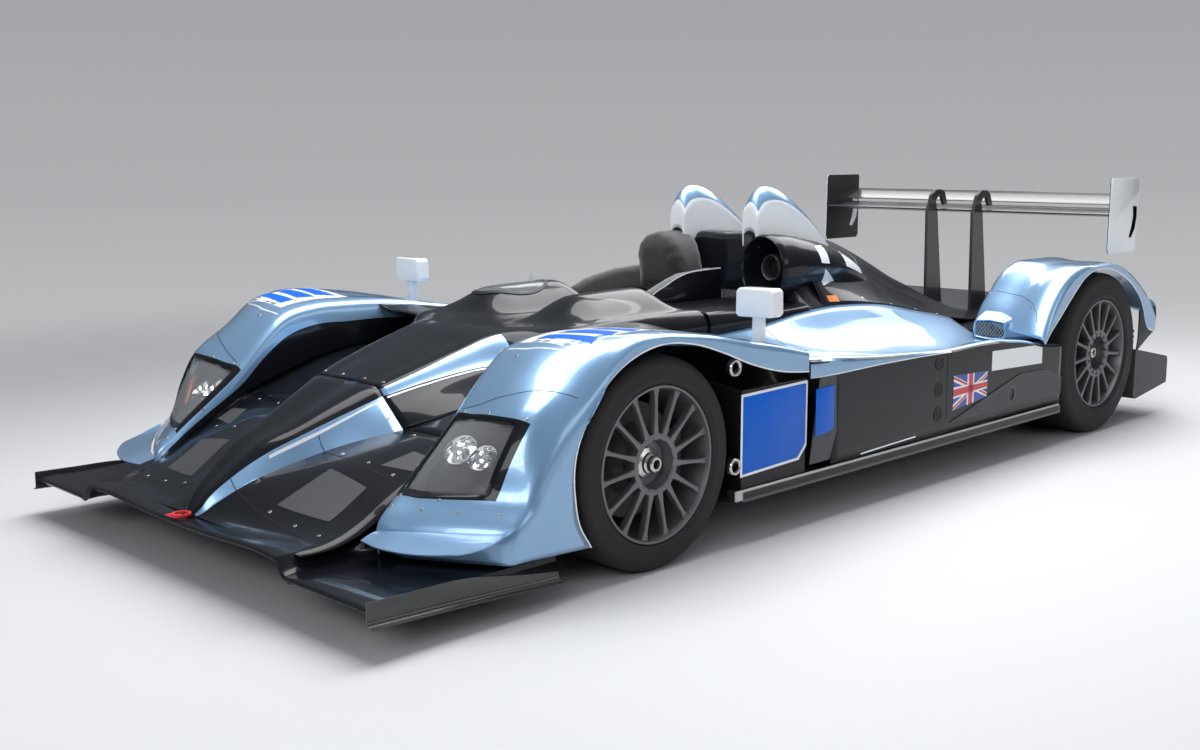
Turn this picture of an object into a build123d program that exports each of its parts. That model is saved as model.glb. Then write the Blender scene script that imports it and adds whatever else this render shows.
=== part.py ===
"""Open-cockpit sports prototype race car, in millimetres.

The ground is Z = 0, the nose points towards -Y and the car's left side is +X.
Pieces that come in pairs are modelled on the left and mirrored to the right.
Outlines near a wheel are drawn with Y measured from its axle.
"""

import os
from math import radians, sin, tan

from build123d import *

os.makedirs("parts", exist_ok=True)

# Overall sizes
overall_length = 4650
front_overhang = 1050
rear_overhang = 730
front_y = -overall_length / 2
rear_y = overall_length / 2
front_axle_y = front_y + front_overhang
rear_axle_y = rear_y - rear_overhang
body_half_width = 985
seat_gap = 0.3
panel_gap = 0.4
panel_wall = 5
cover_wall = 8

# Underfloor: a flat reference plane with sides that rise outwards
reference_z = 84
reference_half_width = 500
side_rise_angle = 7
floor_wall = 10
sill_height = 33
sill_width = 60
floor_front_y = front_axle_y + 375
floor_rear_y = rear_axle_y - 379
skid_half_width = 190
skid_thickness = 20
skid_corner_radius = 60

# Tub
tub_front_y = front_axle_y - 225
tub_shoulder_y = front_axle_y + 575
tub_dash_y = front_axle_y + 845
tub_rear_y = front_axle_y + 1525
tub_front_half_width = 270
tub_half_width = 430
tub_wall = 40
tub_top_front_z = 395
tub_rim_z = 575
coaming_z = 655
hoop_bulkhead_z = 860
bulkhead_thickness = 60
bulkhead_lean = 60
passenger_cover_x = 100

# Front bodywork
nose_joint_y = front_axle_y - 425
fender_inner_x = 585
fender_tail_y = front_axle_y + 713
splitter_rear_y = front_axle_y - 405
splitter_thickness = 20
splitter_outer_z = 138
fence_x = 970
fence_thickness = 6
foot_width = 20
dive_plane_z = 222
dive_plane_thickness = 4

# Sidepods, engine and tail
pod_front_y = fender_tail_y + 6
pod_rear_y = rear_axle_y - 400
pod_face_x = body_half_width - 7
engine_half_width = 230
engine_top_z = 520
engine_rear_y = tub_rear_y + 580
gearbox_half_width = 110
gearbox_base_z = 205
gearbox_top_z = 440
gearbox_rear_y = rear_axle_y + 195
cover_rear_y = rear_axle_y + 255
deck_front_y = pod_rear_y + 5
deck_kink_y = rear_axle_y + 305
deck_top_z = 460
deck_tail_z = 508
deck_thickness = 8
rear_inner_x = 596
tail_box_y = rear_axle_y + 369

# Wheels: outer radius, tread width, and the plane of the outer sidewall
front_tyre_radius = 325
front_tyre_width = 300
rear_tyre_radius = 355
rear_tyre_width = 350
tyre_shoulder = 30
wheel_face_x = 978
rim_seat_radius = 238
rim_wall = 9
rim_inset = 10
rim_face_inset = 16
spoke_count = 15
spoke_width = 13
spoke_depth = 24
hub_bowl_radius = 78
hub_ring_radius = 95
bowl_floor = 12
disc_radius = 178
disc_thickness = 32
disc_inset = 120
hub_radius = 35
nut_radius = 26
nut_inset = 28
shaft_radius = 14
front_wheel_room = 345
steering_room = 45
rear_wheel_room = 368

# Uprights and wishbones
kingpin_x = 800
kingpin_radius = 12
kingpin_length = 17
upright_half_length = 52
upright_half_height = 135
rear_upright_half_height = 84
caliper_gap = 5
front_arm_spread = 150
rear_arm_spread = 170
arm_level = 60
rear_arm_level = 50
arm_width = 30
arm_thickness = 12
arm_eye_radius = 18
arm_eye_height = 26

# Wing
wing_span = 1600
endplate_thickness = 6
pylon_spacing = 256
pylon_thickness = 16


def moved(points, from_y):
    """Points of (y, z) whose y was measured from a plane, as places on the car."""
    return [(y + from_y, z) for y, z in points]


def side_plate(points, from_x, to_x, from_y=0):
    """A plate whose outline is given in (y, z), between two x planes."""
    with BuildPart(mode=Mode.PRIVATE) as plate:
        with BuildSketch(Plane.YZ.offset(from_x)):
            with BuildLine():
                Polyline(*moved(points, from_y), close=True)
            make_face()
        extrude(amount=to_x - from_x)
    return plate.part


def plan_plate(points, from_z, to_z):
    """A plate whose outline is given in (x, y), between two z planes."""
    with BuildPart(mode=Mode.PRIVATE) as plate:
        with BuildSketch(Plane.XY.offset(from_z)):
            with BuildLine():
                Polyline(*points, close=True)
            make_face()
        extrude(amount=to_z - from_z)
    return plate.part


def front_plate(points, from_y, to_y):
    """A plate whose outline is given in (x, z), between two y planes."""
    with BuildPart(mode=Mode.PRIVATE) as plate:
        with BuildSketch(Plane.XZ.offset(-from_y)):
            with BuildLine():
                Polyline(*points, close=True)
            make_face()
        extrude(amount=from_y - to_y)
    return plate.part


def block(x_range, y_range, z_range):
    """A plain block between pairs of planes."""
    return Pos(
        sum(x_range) / 2,
        sum(y_range) / 2,
        sum(z_range) / 2,
    ) * Box(
        x_range[1] - x_range[0],
        y_range[1] - y_range[0],
        z_range[1] - z_range[0],
        mode=Mode.PRIVATE,
    )


def bar(start, end, width, thickness):
    """A flat bar between two points, lying level across its width."""
    axis = Vector(*end) - Vector(*start)
    return Plane(origin=start, x_dir=axis.cross(Vector(0, 0, 1)), z_dir=axis) * Box(
        width,
        thickness,
        axis.length,
        align=(Align.CENTER, Align.CENTER, Align.MIN),
        mode=Mode.PRIVATE,
    )


def mirrored(half_points):
    """Points of the left half in (x, z), closed with their mirror image."""
    return half_points + [(-x, z) for x, z in reversed(half_points) if x > 0]


def walled(outline, wall):
    """An open outline in (x, z), closed by a copy of itself one wall further in."""
    inner = []
    for k, (x, z) in enumerate(outline):
        before = outline[max(k - 1, 0)]
        after = outline[min(k + 1, len(outline) - 1)]
        run = Vector(after[0] - before[0], after[1] - before[1]).normalized()
        inner.append((x - run.Y * wall, z + run.X * wall))
    return outline + inner[::-1]


def outboard(point):
    """How far a point of a section lies out and down, the way that facets are halved."""
    return abs(point[0]) - point[2]


def faceted(rings):
    """A closed body of flat facets through rings that have equal numbers of points."""
    count = len(rings[0])
    faces = [Face(Wire.make_polygon(ring)) for ring in (rings[0], rings[-1])]
    for ring, following in zip(rings, rings[1:]):
        for k in range(count):
            a, b = ring[k], ring[(k + 1) % count]
            d, c = following[k], following[(k + 1) % count]
            if outboard(a) > outboard(b):
                corners = ((a, b, c), (a, c, d))
            else:
                corners = ((a, b, d), (b, c, d))
            faces += [Face(Wire.make_polygon(corner)) for corner in corners]
    return Solid(Shell(faces))


def section_body(sections, outline, from_y):
    """A faceted body through sections, each a table row that starts with its y."""
    return faceted(
        [[(x, y + from_y, z) for x, z in outline(*sizes)] for y, *sizes in sections]
    )


def both_sides(left):
    """The left piece and its mirror image, as one set of solids."""
    right = mirror(left, about=Plane.YZ)
    return Compound(children=list(left.solids()) + list(right.solids()))


def group(*pieces):
    """Separate pieces kept as one set of solids."""
    return Compound(children=[solid for piece in pieces for solid in piece.solids()])


def save(piece, name):
    """Label a finished piece and write it."""
    piece.label = name
    export_step(piece, f"parts/{name}.step")


# Underfloor with its rising sides and thick sill edges
side_slope = tan(radians(side_rise_angle))
sill_inner_x = body_half_width - sill_width
sill_top_z = reference_z + (body_half_width - reference_half_width) * side_slope + sill_height
floor_top_z = reference_z + floor_wall


def floor_top(x):
    """Height of the underfloor's upper face at a distance x from the middle."""
    return floor_top_z + max(0, x - reference_half_width) * side_slope


floor_half = [
    (0, reference_z),
    (reference_half_width, reference_z),
    (body_half_width, sill_top_z - sill_height),
    (body_half_width, sill_top_z),
    (sill_inner_x, sill_top_z),
    (sill_inner_x, floor_top(sill_inner_x)),
    (reference_half_width, floor_top_z),
    (0, floor_top_z),
]
with BuildPart() as floor_tray:
    add(front_plate(mirrored(floor_half), floor_front_y, floor_rear_y))
    add(
        plan_plate(
            [
                (-reference_half_width, floor_front_y),
                (reference_half_width, floor_front_y),
                (tub_front_half_width, tub_front_y),
                (-tub_front_half_width, tub_front_y),
            ],
            reference_z,
            floor_top_z,
        )
    )
save(floor_tray.part, "floor_tray")

# Skid block under the reference plane
with BuildPart() as skid_block:
    add(
        block(
            (-skid_half_width, skid_half_width),
            (tub_front_y, floor_rear_y),
            (reference_z - skid_thickness, reference_z),
        )
    )
    fillet(skid_block.edges().filter_by(Axis.Z), skid_corner_radius)
save(skid_block.part, "skid_block")


# Tub: a hollow sandwich moulding with an open cockpit and a closed footwell
def bulkhead_face_y(z):
    """Front face of the leaning bulkhead behind the seats, at a height z."""
    share = (z - tub_rim_z) / (hoop_bulkhead_z - tub_rim_z)
    return tub_rear_y - bulkhead_thickness - bulkhead_lean * (1 - share)


def tub_plan(wall):
    """Outline of the tub in (x, y), or of its hollow one wall further in."""
    half = [
        (tub_front_half_width - wall, tub_front_y),
        (tub_half_width - wall, tub_shoulder_y),
        (tub_half_width - wall, tub_rear_y),
    ]
    return half + [(-x, y) for x, y in reversed(half)]


tub_side = [
    (tub_front_y, floor_top_z),
    (tub_rear_y, floor_top_z),
    (tub_rear_y, hoop_bulkhead_z),
    (bulkhead_face_y(hoop_bulkhead_z), hoop_bulkhead_z),
    (bulkhead_face_y(tub_rim_z), tub_rim_z),
    (tub_dash_y, tub_rim_z),
    (tub_front_y, tub_top_front_z),
]
hollow_front_y = tub_front_y + tub_wall
hollow_rear_y = bulkhead_face_y(tub_rim_z) - 2
hollow_base_z = floor_top_z + tub_wall
tub_hollow_side = [
    (hollow_front_y, hollow_base_z),
    (hollow_rear_y, hollow_base_z),
    (hollow_rear_y, hoop_bulkhead_z),
    (tub_dash_y, hoop_bulkhead_z),
    (tub_dash_y, tub_rim_z - tub_wall),
    (hollow_front_y, tub_top_front_z - tub_wall),
]


def tub_half_at(y):
    """Half width of the tub where it narrows towards the pedals."""
    share = (y - tub_front_y) / (tub_shoulder_y - tub_front_y)
    return tub_front_half_width + (tub_half_width - tub_front_half_width) * share


front_arm_x = tub_half_at(front_axle_y + front_arm_spread) + 27
pick_up_depth = 35
pick_up_half_length = 16
pick_up_half_height = 14
with BuildPart() as tub_cavity:
    add(plan_plate(tub_plan(tub_wall), 0, hoop_bulkhead_z))
    add(side_plate(tub_hollow_side, -tub_half_width, tub_half_width), mode=Mode.INTERSECT)
with BuildPart() as monocoque:
    add(plan_plate(tub_plan(0), floor_top_z, hoop_bulkhead_z))
    add(side_plate(tub_side, -tub_half_width, tub_half_width), mode=Mode.INTERSECT)
    add(tub_cavity.part, mode=Mode.SUBTRACT)
    for side in (-1, 1):
        for end in (-1, 1):
            for level in (-1, 1):
                pick_up_y = front_axle_y + end * front_arm_spread
                pick_up_z = front_tyre_radius + level * arm_level
                near_x = tub_half_at(pick_up_y) - pick_up_depth
                add(
                    block(
                        sorted((side * near_x, side * front_arm_x)),
                        (pick_up_y - pick_up_half_length, pick_up_y + pick_up_half_length),
                        (pick_up_z - pick_up_half_height, pick_up_z + pick_up_half_height),
                    )
                )
save(monocoque.part, "monocoque")


# Nose: a crown, a band that falls from it to a crease, and a channel out to the fender
def nose_outline(top_z, crown_x, crown_z, crease_x, crease_z, channel_x, channel_z, base_z):
    """Section of the nose in (x, z), closed along its flat underside."""
    half = [
        (channel_x, base_z),
        (channel_x, channel_z),
        (crease_x, crease_z),
        (crown_x, crown_z),
        (0, top_z),
    ]
    return mirrored(half)


nose_base_z = 182 + panel_gap
nose_sections = [
    # y from the front axle, top z, crown x and z, crease x and z, channel x and z, base z
    (-985, 192, 22, 190, 34, 187, 180, 184, nose_base_z),
    (-940, 247, 46, 244, 66, 215, 300, 186, nose_base_z),
    (-885, 290, 60, 286, 90, 250, 400, 190, nose_base_z),
    (-775, 368, 90, 358, 120, 295, 520, 222, nose_base_z),
    (-575, 452, 145, 440, 195, 355, 560, 330, nose_base_z),
    (-425, 517, 192, 500, 300, 398, 575, 400, 300),
]
save(section_body(nose_sections, nose_outline, front_axle_y), "nose_cone")


# Scuttle: a thin cover from the nose joint over the footwell to the cockpit
def scuttle_outline(top_z, crown_x, crown_z, shoulder_x, shoulder_z, side_x, side_z, foot_x, foot_z):
    """Section of the scuttle in (x, z), open below."""
    half = [(foot_x, foot_z), (side_x, side_z), (shoulder_x, shoulder_z), (crown_x, crown_z)]
    return walled(mirrored(half + [(0, top_z)]), cover_wall)


cover_foot_x = tub_half_width + 12
scuttle_front = nose_joint_y + panel_gap - front_axle_y
scuttle_sections = [
    # y from the front axle, top z, crown, shoulder, side and foot as x and z
    (scuttle_front, 517, 180, 508, 198, 488, 255, 440, 300, 400),
    (-125, 615, 215, 603, 272, 548, 380, 515, 462, 500),
    (95, 657, 260, 650, 350, 600, 430, 560, 500, 530),
    (289, 652, 300, 665, 415, 655, 436, 630, cover_foot_x, 578),
    (845, 655, 300, 663, 415, 657, tub_half_width - 1, 632, tub_half_width - 1, 578),
]
hump_x = 215
hump_sections = [
    # y from the front axle, half width at the foot, half width at the top, foot z, top z
    (200, 60, 20, 645, 662),
    (375, 165, 95, 645, 738),
    (680, 165, 100, 648, 738),
    (830, 90, 40, 648, 668),
]
coaming_half = [
    (tub_half_width - 45, tub_rim_z + seat_gap),
    (tub_half_width, tub_rim_z + seat_gap),
    (tub_half_width, 630),
    (tub_half_width - 10, coaming_z),
    (tub_half_width - 45, coaming_z),
]
dash_half = [
    (0, tub_rim_z + seat_gap),
    (tub_half_width - 4, tub_rim_z + seat_gap),
    (tub_half_width - 4, 636),
    (300, 660),
    (0, 652),
]
coaming_rear_y = bulkhead_face_y(tub_rim_z) - seat_gap
dash_thickness = 12
with BuildPart() as cockpit_surround:
    add(section_body(scuttle_sections, scuttle_outline, front_axle_y))
    for hump_side in (-hump_x, hump_x):
        add(
            section_body(
                hump_sections,
                lambda foot_half, top_half, foot_z, top_z: [
                    (hump_side - foot_half, foot_z),
                    (hump_side - top_half, top_z),
                    (hump_side + top_half, top_z),
                    (hump_side + foot_half, foot_z),
                ],
                front_axle_y,
            )
        )
    for coaming_side in (coaming_half, [(-x, z) for x, z in reversed(coaming_half)]):
        add(front_plate(coaming_side, tub_dash_y - panel_wall, coaming_rear_y))
    add(front_plate(mirrored(dash_half), tub_dash_y - dash_thickness, tub_dash_y))
    add(
        block(
            (passenger_cover_x - 25, tub_half_width - 20),
            (tub_dash_y - panel_wall, coaming_rear_y),
            (coaming_z - panel_wall, coaming_z),
        )
    )
save(cockpit_surround.part, "cockpit_surround")


# Channel floors beside the scuttle, and the panels that bridge them behind
def strip_outline(inner_x, inner_z, outer_x, outer_z):
    """Section of a panel that spans between two edges."""
    return [
        (inner_x, inner_z),
        (outer_x, outer_z),
        (outer_x, outer_z - panel_wall),
        (inner_x, inner_z - panel_wall),
    ]


channel_outer_x = fender_inner_x - seat_gap
channel_sections = [
    # y from the front axle, inner edge x and z, outer edge x and z
    (scuttle_front, 301, 399, channel_outer_x, 400),
    (-125, 463, 499, channel_outer_x, 498),
    (95, 501, 529, channel_outer_x, 529),
    (289, cover_foot_x + 1, 532, channel_outer_x, 531),
    (375, cover_foot_x + 1, 533, channel_outer_x, 531),
]
bridge_sections = [
    # y from the front axle, inner edge x and z, outer edge x and z
    (165, cover_foot_x + 1, 642, channel_outer_x, 668),
    (475, cover_foot_x + 1, 645, channel_outer_x, 632),
    (709, cover_foot_x + 1, 600, channel_outer_x, 597),
]
channel_floor = section_body(channel_sections, strip_outline, front_axle_y)
bridge_panel = section_body(bridge_sections, strip_outline, front_axle_y)
save(both_sides(group(channel_floor, bridge_panel)), "channel_panels")

# Splitter: a stepped blade across the whole front
splitter_half = [
    (0, 178),
    (200, 181),
    (345, 182),
    (543, 176),
    (584, splitter_outer_z),
    (fence_x, splitter_outer_z),
]
splitter_outline = [(x, z - splitter_thickness) for x, z in splitter_half]
splitter_outline += [(x, z) for x, z in reversed(splitter_half)]
with BuildPart() as front_splitter:
    add(front_plate(splitter_outline, front_y, splitter_rear_y))
    add(front_plate([(-x, z) for x, z in splitter_outline], front_y, splitter_rear_y))
save(front_splitter.part, "front_splitter")

# Side fences with an outward foot
fence_outline = [(-1050, 156), (-788, 150), (-405, 95), (-405, 62), (-1050, 92)]
foot_outline = [(-1050, 92), (-405, 62), (-405, 66), (-1050, 96)]
fence_outer_x = fence_x + fence_thickness
with BuildPart() as fence_left:
    add(side_plate(fence_outline, fence_x + seat_gap, fence_outer_x, front_axle_y))
    add(side_plate(foot_outline, fence_x + 2, fence_outer_x + foot_width, front_axle_y))
save(both_sides(fence_left.part), "splitter_fences")


def wheel_space(axle_y, axle_z, radius, shift, from_x, to_x):
    """The space that a wheel needs: its circle drawn out fore and aft, open below."""
    front = axle_y - shift
    rear = axle_y + shift
    top_z = axle_z + radius
    slant = radius * sin(radians(45))
    with BuildPart(mode=Mode.PRIVATE) as space:
        with BuildSketch(Plane.YZ.offset(from_x)):
            with BuildLine():
                Line((front - radius, 0), (front - radius, axle_z))
                ThreePointArc(
                    (front - radius, axle_z),
                    (front - slant, axle_z + slant),
                    (front, top_z),
                )
                if shift:
                    Line((front, top_z), (rear, top_z))
                ThreePointArc(
                    (rear, top_z),
                    (rear + slant, axle_z + slant),
                    (rear + radius, axle_z),
                )
                Line((rear + radius, axle_z), (rear + radius, 0))
                Line((rear + radius, 0), (front - radius, 0))
            make_face()
        extrude(amount=to_x - from_x)
    return space.part


# Front fenders: crowned outside, open at the wheel, with a recess for the headlamp
fender_floor_z = splitter_outer_z + seat_gap
fender_crown_z = 718
fender_wall = 12
front_fender_side = [
    (-775, fender_floor_z),
    (-775, 330),
    (-460, 488),
    (-390, 575),
    (-270, 655),
    (-155, 690),
    (-13, fender_crown_z),
    (125, 703),
    (399, 660),
    (713, 597),
    (713, 515),
    (365, 515),
    (365, fender_floor_z),
]
front_fender_plan = [
    (640, front_axle_y - 775),
    (690, front_axle_y - 765),
    (body_half_width, front_axle_y - 591),
    (body_half_width, fender_tail_y),
    (fender_inner_x, fender_tail_y),
    (fender_inner_x, nose_joint_y),
]
front_arch_side = [
    (-256, -1),
    (-334, 198),
    (-355, 344),
    (-323, 480),
    (-225, 600),
    (-55, 672),
    (74, 683),
    (163, 665),
    (256, 637),
    (352, 599),
    (502, 551),
    (735, 517),
    (735, -1),
]
lamp_plane = Plane(
    origin=(640, front_axle_y - 700, 288),
    x_dir=(260, 130, 18),
    z_dir=(0.230, -0.569, 0.789),
)
lamp_outline = [(8, 10), (280, 10), (352, 285), (90, 285)]
lamp_depth = 62
lens_thickness = 4


def lamp_plate(outline, from_depth, to_depth):
    """A plate parallel to the slanted lamp face, between two depths below it."""
    with BuildPart(mode=Mode.PRIVATE) as plate:
        with BuildSketch(lamp_plane.offset(-from_depth)):
            with BuildLine():
                Polyline(*outline, close=True)
            make_face()
        extrude(amount=from_depth - to_depth)
    return plate.part


lamp_face_cut = lamp_plate([(-300, -400), (700, -400), (700, 330), (-300, 330)], -400, 0)
lamp_pocket = lamp_plate(lamp_outline, -30, lamp_depth)
front_wheel_space = wheel_space(
    front_axle_y,
    front_tyre_radius,
    front_wheel_room,
    steering_room,
    fender_inner_x + 7,
    958,
)
fender_tail_hollow = side_plate(
    [(145, 655), (375, 625), (695, 570), (714.5, 0), (145, 0)],
    fender_inner_x + fender_wall,
    body_half_width - fender_wall,
    front_axle_y,
)
arm_window = block(
    (fender_inner_x - 85, 700),
    (front_axle_y - front_arm_spread + 20, front_axle_y + front_arm_spread - 20),
    (150, 510),
)
with BuildPart() as front_fender_left:
    add(plan_plate(front_fender_plan, 0, fender_crown_z + 1))
    add(
        side_plate(front_fender_side, 500, body_half_width + 1, front_axle_y),
        mode=Mode.INTERSECT,
    )
    add(front_wheel_space, mode=Mode.SUBTRACT)
    add(side_plate(front_arch_side, 700, body_half_width + 1, front_axle_y), mode=Mode.SUBTRACT)
    add(fender_tail_hollow, mode=Mode.SUBTRACT)
    add(lamp_face_cut, mode=Mode.SUBTRACT)
    add(lamp_pocket, mode=Mode.SUBTRACT)
    add(arm_window, mode=Mode.SUBTRACT)
save(front_fender_left.part, "front_fender_left")
save(mirror(front_fender_left.part, about=Plane.YZ), "front_fender_right")

# Headlamps: a clear lens over two round units
lens_outline = [(9, 11), (279, 11), (350, 284), (92, 284)]
save(both_sides(lamp_plate(lens_outline, 0, lens_thickness)), "headlamp_lenses")
lamp_unit_radius = 40
lamp_unit_length = 30
lamp_unit_places = [(130, 150), (222, 150)]
with BuildPart() as lamp_units:
    with BuildSketch(lamp_plane.offset(seat_gap - lamp_depth)):
        with Locations(*lamp_unit_places):
            Circle(lamp_unit_radius)
    extrude(amount=lamp_unit_length)
save(both_sides(lamp_units.part), "headlamp_units")

# Dive planes on the fender corner
lower_dive = plan_plate(
    [
        (700, front_axle_y - 810),
        (960, front_axle_y - 710),
        (992, front_axle_y - 605),
        (985.2, front_axle_y - 591.4),
        (690.2, front_axle_y - 765.4),
    ],
    dive_plane_z,
    dive_plane_z + dive_plane_thickness,
)
save(both_sides(lower_dive), "dive_planes")

# Panels behind the front wheels, with their number boards
panel_outer_x = body_half_width - 10
panel_corner_y = front_axle_y + 377
panel_rear_y = pod_front_y - 10
exit_panel = plan_plate(
    [
        (600, panel_corner_y + 108),
        (panel_outer_x, panel_corner_y),
        (panel_outer_x, panel_rear_y),
        (panel_outer_x - 6, panel_rear_y),
        (panel_outer_x - 6, panel_corner_y + 8),
        (600, panel_corner_y + 115),
    ],
    sill_top_z + seat_gap,
    500,
)
save(both_sides(exit_panel), "arch_exit_panels")
board_outline = [(382, 225), (685, 235), (705, 262), (705, 488), (382, 490)]
board_left = side_plate(
    board_outline, panel_outer_x + seat_gap, panel_outer_x + 4, front_axle_y
)
save(both_sides(board_left), "number_boards")

# Mirrors on stalks
mirror_base_z = 637
mirror_x = 900
with BuildPart() as mirror_left:
    with BuildSketch(Plane.XZ.offset(-front_axle_y - 500)):
        with Locations((mirror_x, 763)):
            RectangleRounded(180, 88, 30)
    extrude(amount=-70)
    add(
        block(
            (mirror_x - 15, mirror_x + 15),
            (front_axle_y + 515, front_axle_y + 543),
            (mirror_base_z, 725),
        )
    )
save(both_sides(mirror_left.part), "mirrors")


# Sidepods: a flat outer wall, a scooped top and an inlet in the front face
def pod_outline(inner_z, slope_z, scoop_z, rise_z, rim_z, corner_z):
    """Section of the left sidepod in (x, z), following the underfloor."""
    return [
        (tub_half_width + seat_gap, floor_top_z + seat_gap),
        (reference_half_width, floor_top_z + seat_gap),
        (sill_inner_x - seat_gap, floor_top(sill_inner_x) + seat_gap),
        (sill_inner_x - seat_gap, sill_top_z + seat_gap),
        (pod_face_x, sill_top_z + seat_gap),
        (pod_face_x, corner_z),
        (sill_inner_x + 25, rim_z),
        (830, rise_z),
        (700, scoop_z),
        (560, slope_z),
        (tub_half_width + seat_gap, inner_z),
    ]


pod_length = pod_rear_y - pod_front_y
pod_sections = [
    # share of the length, then z at the tub, slope, scoop, rise, rim and corner
    (0, 576, 571, 568, 567, 566, 552),
    (0.072, 577, 566, 556, 556, 558, 543),
    (0.232, 595, 530, 497, 510, 530, 521),
    (0.489, 630, 520, 455, 475, 500, 494),
    (0.704, 605, 490, 433, 470, 500, 492),
    (0.946, 527, 460, 440, 442, 444, 435),
    (1, 508, 452, 438, 437, 437, 428),
]
pod_inlet_depth = 120
pod_inlet = block(
    (tub_half_width + 60, 900),
    (pod_front_y - 1, pod_front_y + pod_inlet_depth),
    (230, 500),
)
pod_body = section_body(
    [(share * pod_length, *heights) for share, *heights in pod_sections],
    pod_outline,
    pod_front_y,
)
with BuildPart() as sidepod_left:
    add(pod_body)
    add(pod_inlet, mode=Mode.SUBTRACT)
save(sidepod_left.part, "sidepod_left")
save(mirror(sidepod_left.part, about=Plane.YZ), "sidepod_right")

# Turning vanes ahead of the sidepods
vane_outline = [(-170, 208), (-60, 208), (-20, 300), (-30, 496), (-120, 496)]
vane_left = side_plate(
    vane_outline, pod_face_x + seat_gap, pod_face_x + 4, pod_front_y + 178
)
save(both_sides(vane_left), "turning_vanes")

# Exhaust outlets: a low blister on each side wall with an open pipe end
outlet_thickness = 8
outlet_pipe_radius = 30
outlet_outline = [(-865, 225), (16, 225), (16, 300), (-120, 345), (-330, 352), (-560, 300)]
with BuildPart() as outlet_left:
    add(
        side_plate(
            outlet_outline,
            pod_face_x + seat_gap,
            pod_face_x + outlet_thickness,
            pod_rear_y,
        )
    )
    with BuildSketch(Plane.YZ.offset(pod_face_x + seat_gap)):
        with Locations((pod_rear_y - 400, 277)):
            Circle(outlet_pipe_radius)
    extrude(amount=outlet_thickness, mode=Mode.SUBTRACT)
save(both_sides(outlet_left.part), "exhaust_outlets")

# Windscreen: a thin clear arc ahead of the driver
screen_wall = 4
screen_height = 32
screen_y = front_axle_y + 640
with BuildPart() as windscreen:
    with BuildSketch(Plane.XY.offset(738 + seat_gap)):
        with BuildLine():
            ThreePointArc((-290, screen_y), (-215, screen_y - 60), (-140, screen_y))
            Line((-140, screen_y), (-140 - screen_wall, screen_y))
            ThreePointArc(
                (-140 - screen_wall, screen_y),
                (-215, screen_y - 60 + screen_wall),
                (-290 + screen_wall, screen_y),
            )
            Line((-290 + screen_wall, screen_y), (-290, screen_y))
        make_face()
    extrude(amount=screen_height)
save(windscreen.part, "windscreen")

# Seat, pads and steering wheel
seat_base_z = hollow_base_z + seat_gap
seat_shell = 18
seat_outer_x = tub_half_width - tub_wall - 20
seat_inner_x = 45
seat_side = [
    (-350, seat_base_z),
    (40, seat_base_z),
    (110, 600),
    (92, 600),
    (25, seat_base_z + seat_shell),
    (-350, seat_base_z + seat_shell),
]
cockpit_y = tub_rear_y - 250
save(side_plate(seat_side, -seat_outer_x, -seat_inner_x, cockpit_y), "seat")
pad_side = [
    (20, coaming_z + seat_gap),
    (bulkhead_face_y(coaming_z) - seat_gap - cockpit_y, coaming_z + seat_gap),
    (bulkhead_face_y(850) - seat_gap - cockpit_y, 850),
    (90, 855),
    (88, 905),
    (50, 915),
    (15, 880),
    (0, 760),
]
save(side_plate(pad_side, -330, -90, cockpit_y), "headrest_pad")
rim_pad_z = coaming_z + seat_gap
right_pad_side = [(-400, rim_pad_z), (-333, 678), (-180, 737), (-62, 758), (-5, 760), (-5, rim_pad_z)]
left_pad_side = [(-428, rim_pad_z), (-315, 730), (-182, 773), (15, 780), (15, rim_pad_z)]
right_pad = side_plate(right_pad_side, 5 - tub_half_width, 45 - tub_half_width, cockpit_y)
left_pad = side_plate(left_pad_side, passenger_cover_x - 20, passenger_cover_x + 10, cockpit_y)
save(group(right_pad, left_pad), "cockpit_pads")
steering_plane = Plane(
    origin=(-207, cockpit_y - 330, 575), x_dir=(1, 0, 0), z_dir=(0, 1, 0.35)
)
column_radius = 20
column_length = 98
with BuildPart() as steering_wheel:
    with BuildSketch(steering_plane):
        RectangleRounded(270, 170, 50)
        Rectangle(215, 115, mode=Mode.SUBTRACT)
        Rectangle(100, 150)
    extrude(amount=20)
    with BuildSketch(steering_plane):
        Circle(column_radius)
    extrude(amount=-column_length)
save(steering_wheel.part, "steering_wheel")


# Roll hoop fairings behind both seats
def fairing_outline(top_z, half, inner_base_z, outer_base_z):
    """Section of the left fairing in (x, z)."""
    middle_z = (top_z + inner_base_z) / 2
    return [
        (193 - half, inner_base_z),
        (193 - half, middle_z),
        (193 - half * 0.5, top_z),
        (193 + half * 0.5, top_z),
        (193 + half, middle_z),
        (193 + half, outer_base_z),
    ]


hoop_base_z = hoop_bulkhead_z + seat_gap
fairing_sections = [
    # y from the tub's rear, top z, half width, base z inside and outside
    (-156, 925, 30, hoop_base_z, hoop_base_z),
    (-148, 1040, 40, hoop_base_z, hoop_base_z),
    (-112, 1088, 45, hoop_base_z, hoop_base_z),
    (-70, 1098, 46, hoop_base_z, hoop_base_z),
    (2, 1089, 46, 863, 863),
    (172, 1000, 38, 866, 852),
    (350, 862, 20, 846, 820),
]
save(
    both_sides(section_body(fairing_sections, fairing_outline, tub_rear_y)),
    "roll_hoop_fairings",
)

# Air intake beside the left hoop
intake_outline = [
    (204, 656),
    (379, 667),
    (399, 786),
    (348, 899),
    (273, 915),
    (242, 897),
    (240, 859),
    (199, 859),
    (176, 772),
]
intake_wall = 16
intake_middle = (288, 780)


def intake_ring(scale, rise):
    """The mouth's outline drawn in towards its middle, and raised."""
    x_0, z_0 = intake_middle
    return [(x_0 + (x - x_0) * scale, z_0 + (z - z_0) * scale + rise) for x, z in intake_outline]


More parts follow.
